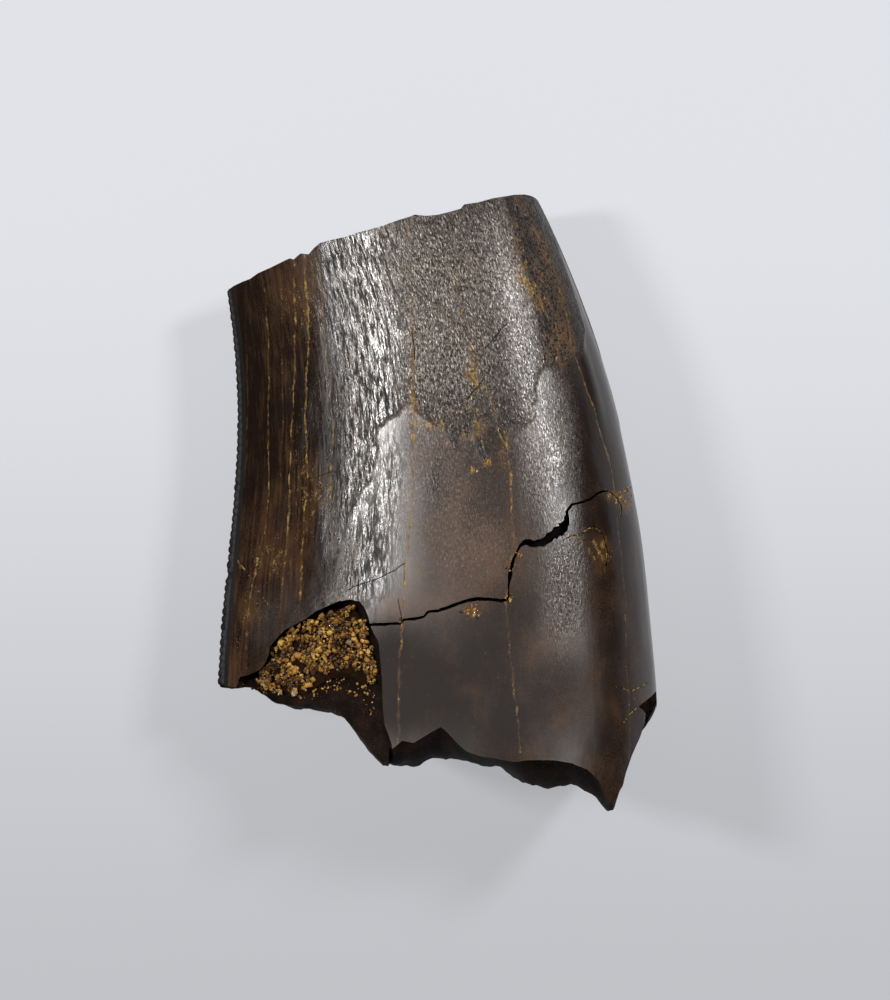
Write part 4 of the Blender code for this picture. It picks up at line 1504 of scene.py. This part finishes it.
def add_floor(settings):
    """The flat card that the tooth lies on."""
    mesh = bmesh.new()
    bmesh.ops.create_grid(mesh, x_segments=1, y_segments=1, size=FLOOR_REACH)
    data = bpy.data.meshes.new("studio_floor")
    mesh.to_mesh(data)
    mesh.free()
    data.materials.append(studio_floor(settings))
    return place_object("studio_floor", data)


def add_camera():
    """The camera, straight over the piece, whose picture has the photograph's frame."""
    data = bpy.data.cameras.new("photo_camera")
    camera = place_object("photo_camera", data)
    off_x = (PHOTO_SIZE[0] / 2.0 - PHOTO_MIDDLE[0]) * PX
    off_y = (PHOTO_MIDDLE[1] - PHOTO_SIZE[1] / 2.0) * PX
    camera.location = (off_x, off_y, FOCUS_HEIGHT + CAMERA_DISTANCE)
    data.sensor_fit = "VERTICAL"
    data.sensor_height = SENSOR_HEIGHT
    data.lens = SENSOR_HEIGHT * CAMERA_DISTANCE / (PHOTO_SIZE[1] * PX)
    data.clip_start, data.clip_end = CAMERA_CLIP
    bpy.context.scene.camera = camera


def set_sky(settings):
    """The pale room that the tooth faintly mirrors."""
    world = bpy.data.worlds.new("studio_room")
    world.use_nodes = True
    background = world.node_tree.nodes["Background"]
    background.inputs["Color"].default_value = linear(ROOM_COLOUR)
    background.inputs["Strength"].default_value = settings.room_light
    scene = bpy.context.scene
    scene.world = world
    scene.view_settings.view_transform = "Standard"


class FossilToothSettings(bpy.types.PropertyGroup):
    """The sizes and colours of the tooth that the user can change"""

    denticle_height: bpy.props.FloatProperty(
        name="Denticle height", description="How far the worn denticles stand out from the rear edge",
        default=DENTICLE_HEIGHT, min=0.0, max=0.5 * MM, precision=5, unit="LENGTH",
    )
    enamel_step: bpy.props.FloatProperty(
        name="Outer enamel", description="How far the outer enamel stands over the worn enamel beside it",
        default=SKIN_STEP, min=0.0, max=0.3 * MM, precision=5, unit="LENGTH",
    )
    wrinkle_depth: bpy.props.FloatProperty(
        name="Wrinkle depth", description="How deep the enamel's finest wrinkles are",
        default=WRINKLE_BUMP, min=0.0, max=0.2 * MM, precision=6, unit="LENGTH",
    )
    crack_depth: bpy.props.FloatProperty(
        name="Crack depth", description="How deep the open crack goes below the enamel",
        default=CRACK_DEPTH, min=0.1 * MM, max=2.0 * MM, precision=5, unit="LENGTH",
    )
    enamel_dark: bpy.props.FloatVectorProperty(
        name="Dark enamel", description="Colour of the darkest enamel",
        default=linear(ENAMEL_DARK), size=4, min=0.0, max=1.0, subtype="COLOR",
    )
    enamel_light: bpy.props.FloatVectorProperty(
        name="Light enamel", description="Colour of the lightest enamel",
        default=linear(ENAMEL_LIGHT), size=4, min=0.0, max=1.0, subtype="COLOR",
    )


class FossilSandSettings(bpy.types.PropertyGroup):
    """The colours of the sand that the user can change"""

    grain_dark: bpy.props.FloatVectorProperty(
        name="Dark grains", description="Colour of the darkest sand grains",
        default=linear(GRAIN_DARK), size=4, min=0.0, max=1.0, subtype="COLOR",
    )
    grain_ochre: bpy.props.FloatVectorProperty(
        name="Ochre grains", description="Colour of most sand grains",
        default=linear(GRAIN_OCHRE), size=4, min=0.0, max=1.0, subtype="COLOR",
    )
    grain_pale: bpy.props.FloatVectorProperty(
        name="Pale grains", description="Colour of the palest sand grains",
        default=linear(GRAIN_PALE), size=4, min=0.0, max=1.0, subtype="COLOR",
    )


class FossilStageSettings(bpy.types.PropertyGroup):
    """The floor's colour and the lamps of the stage that the user can change"""

    floor_colour: bpy.props.FloatVectorProperty(
        name="Floor", description="Colour of the card that the tooth lies on",
        default=linear(FLOOR_COLOUR), size=4, min=0.0, max=1.0, subtype="COLOR",
    )
    lamp_radiance: bpy.props.FloatProperty(
        name="Lamps", description="Radiance of the two soft lamps", default=LAMP_RADIANCE, min=0.0, max=100.0,
    )
    overhead_radiance: bpy.props.FloatProperty(
        name="Overhead panel", description="Radiance of the wide dim panel overhead",
        default=OVERHEAD_RADIANCE, min=0.0, max=20.0,
    )
    room_light: bpy.props.FloatProperty(
        name="Room light", description="Radiance of the pale room", default=ROOM_LIGHT, min=0.0, max=5.0,
    )


class FOSSIL_OT_tooth(bpy.types.Operator):
    """Builds the broken tooth crown in place of its plain solid"""

    bl_idname = "fossil.tooth"
    bl_label = "Build the tooth"

    def execute(self, context):
        tooth = make_tooth(context.scene.fossil_tooth)
        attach(tooth, "root")
        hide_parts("tooth")
        return {"FINISHED"}


class FOSSIL_OT_sand(bpy.types.Operator):
    """Builds the cemented sand in the hollow, and the grains of it that stick elsewhere"""

    bl_idname = "fossil.sand"
    bl_label = "Build the sand"

    def execute(self, context):
        materials = [cement(), sand_grain(context.scene.fossil_sand), quartz_grain()]
        for piece in (make_sand(materials), make_crumbs(materials)):
            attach(piece, "root")
            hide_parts("sand_matrix")
        return {"FINISHED"}


class FOSSIL_OT_stage(bpy.types.Operator):
    """Sets the floor, the lamps, the room and the camera of the photograph"""

    bl_idname = "fossil.stage"
    bl_label = "Set the stage"

    def execute(self, context):
        settings = context.scene.fossil_stage
        add_floor(settings)
        for name, sideways, ahead, size, share in SOFTBOXES:
            place = Vector((math.tan(sideways), math.tan(ahead), 1.0)).normalized() * SOFTBOX_DISTANCE
            add_lamp(name, place, size, settings.lamp_radiance * share)
        add_lamp("overhead_panel", Vector(OVERHEAD_PLACE), OVERHEAD_SIZE, settings.overhead_radiance)
        set_sky(settings)
        add_camera()
        return {"FINISHED"}


class FOSSIL_PT_panel(bpy.types.Panel):
    """The sizes and colours of the tooth, the sand and the stage, and the buttons that build them"""

    bl_label = "Fossil tooth"
    bl_idname = "FOSSIL_PT_panel"
    bl_space_type = "VIEW_3D"
    bl_region_type = "UI"
    bl_category = "Fossil"

    def draw(self, context):
        for name, build in (("fossil_tooth", "fossil.tooth"), ("fossil_sand", "fossil.sand"),
                            ("fossil_stage", "fossil.stage")):
            box = self.layout.box()
            settings = getattr(context.scene, name)
            for field in settings.__annotations__:
                box.prop(settings, field)
            box.operator(build)


CLASSES = (
    FossilToothSettings, FossilSandSettings, FossilStageSettings,
    FOSSIL_OT_tooth, FOSSIL_OT_sand, FOSSIL_OT_stage, FOSSIL_PT_panel,
)


def register():
    """Makes the settings, the operators and the panel known."""
    for each in CLASSES:
        bpy.utils.register_class(each)
    bpy.types.Scene.fossil_tooth = bpy.props.PointerProperty(type=FossilToothSettings)
    bpy.types.Scene.fossil_sand = bpy.props.PointerProperty(type=FossilSandSettings)
    bpy.types.Scene.fossil_stage = bpy.props.PointerProperty(type=FossilStageSettings)


def unregister():
    """Takes the settings, the operators and the panel away again."""
    del bpy.types.Scene.fossil_stage
    del bpy.types.Scene.fossil_sand
    del bpy.types.Scene.fossil_tooth
    for each in reversed(CLASSES):
        bpy.utils.unregister_class(each)


def main():
    """Builds the pieces and the stage."""
    register()
    bpy.ops.fossil.tooth()
    bpy.ops.fossil.sand()
    bpy.ops.fossil.stage()


if __name__ == "__main__":
    main()
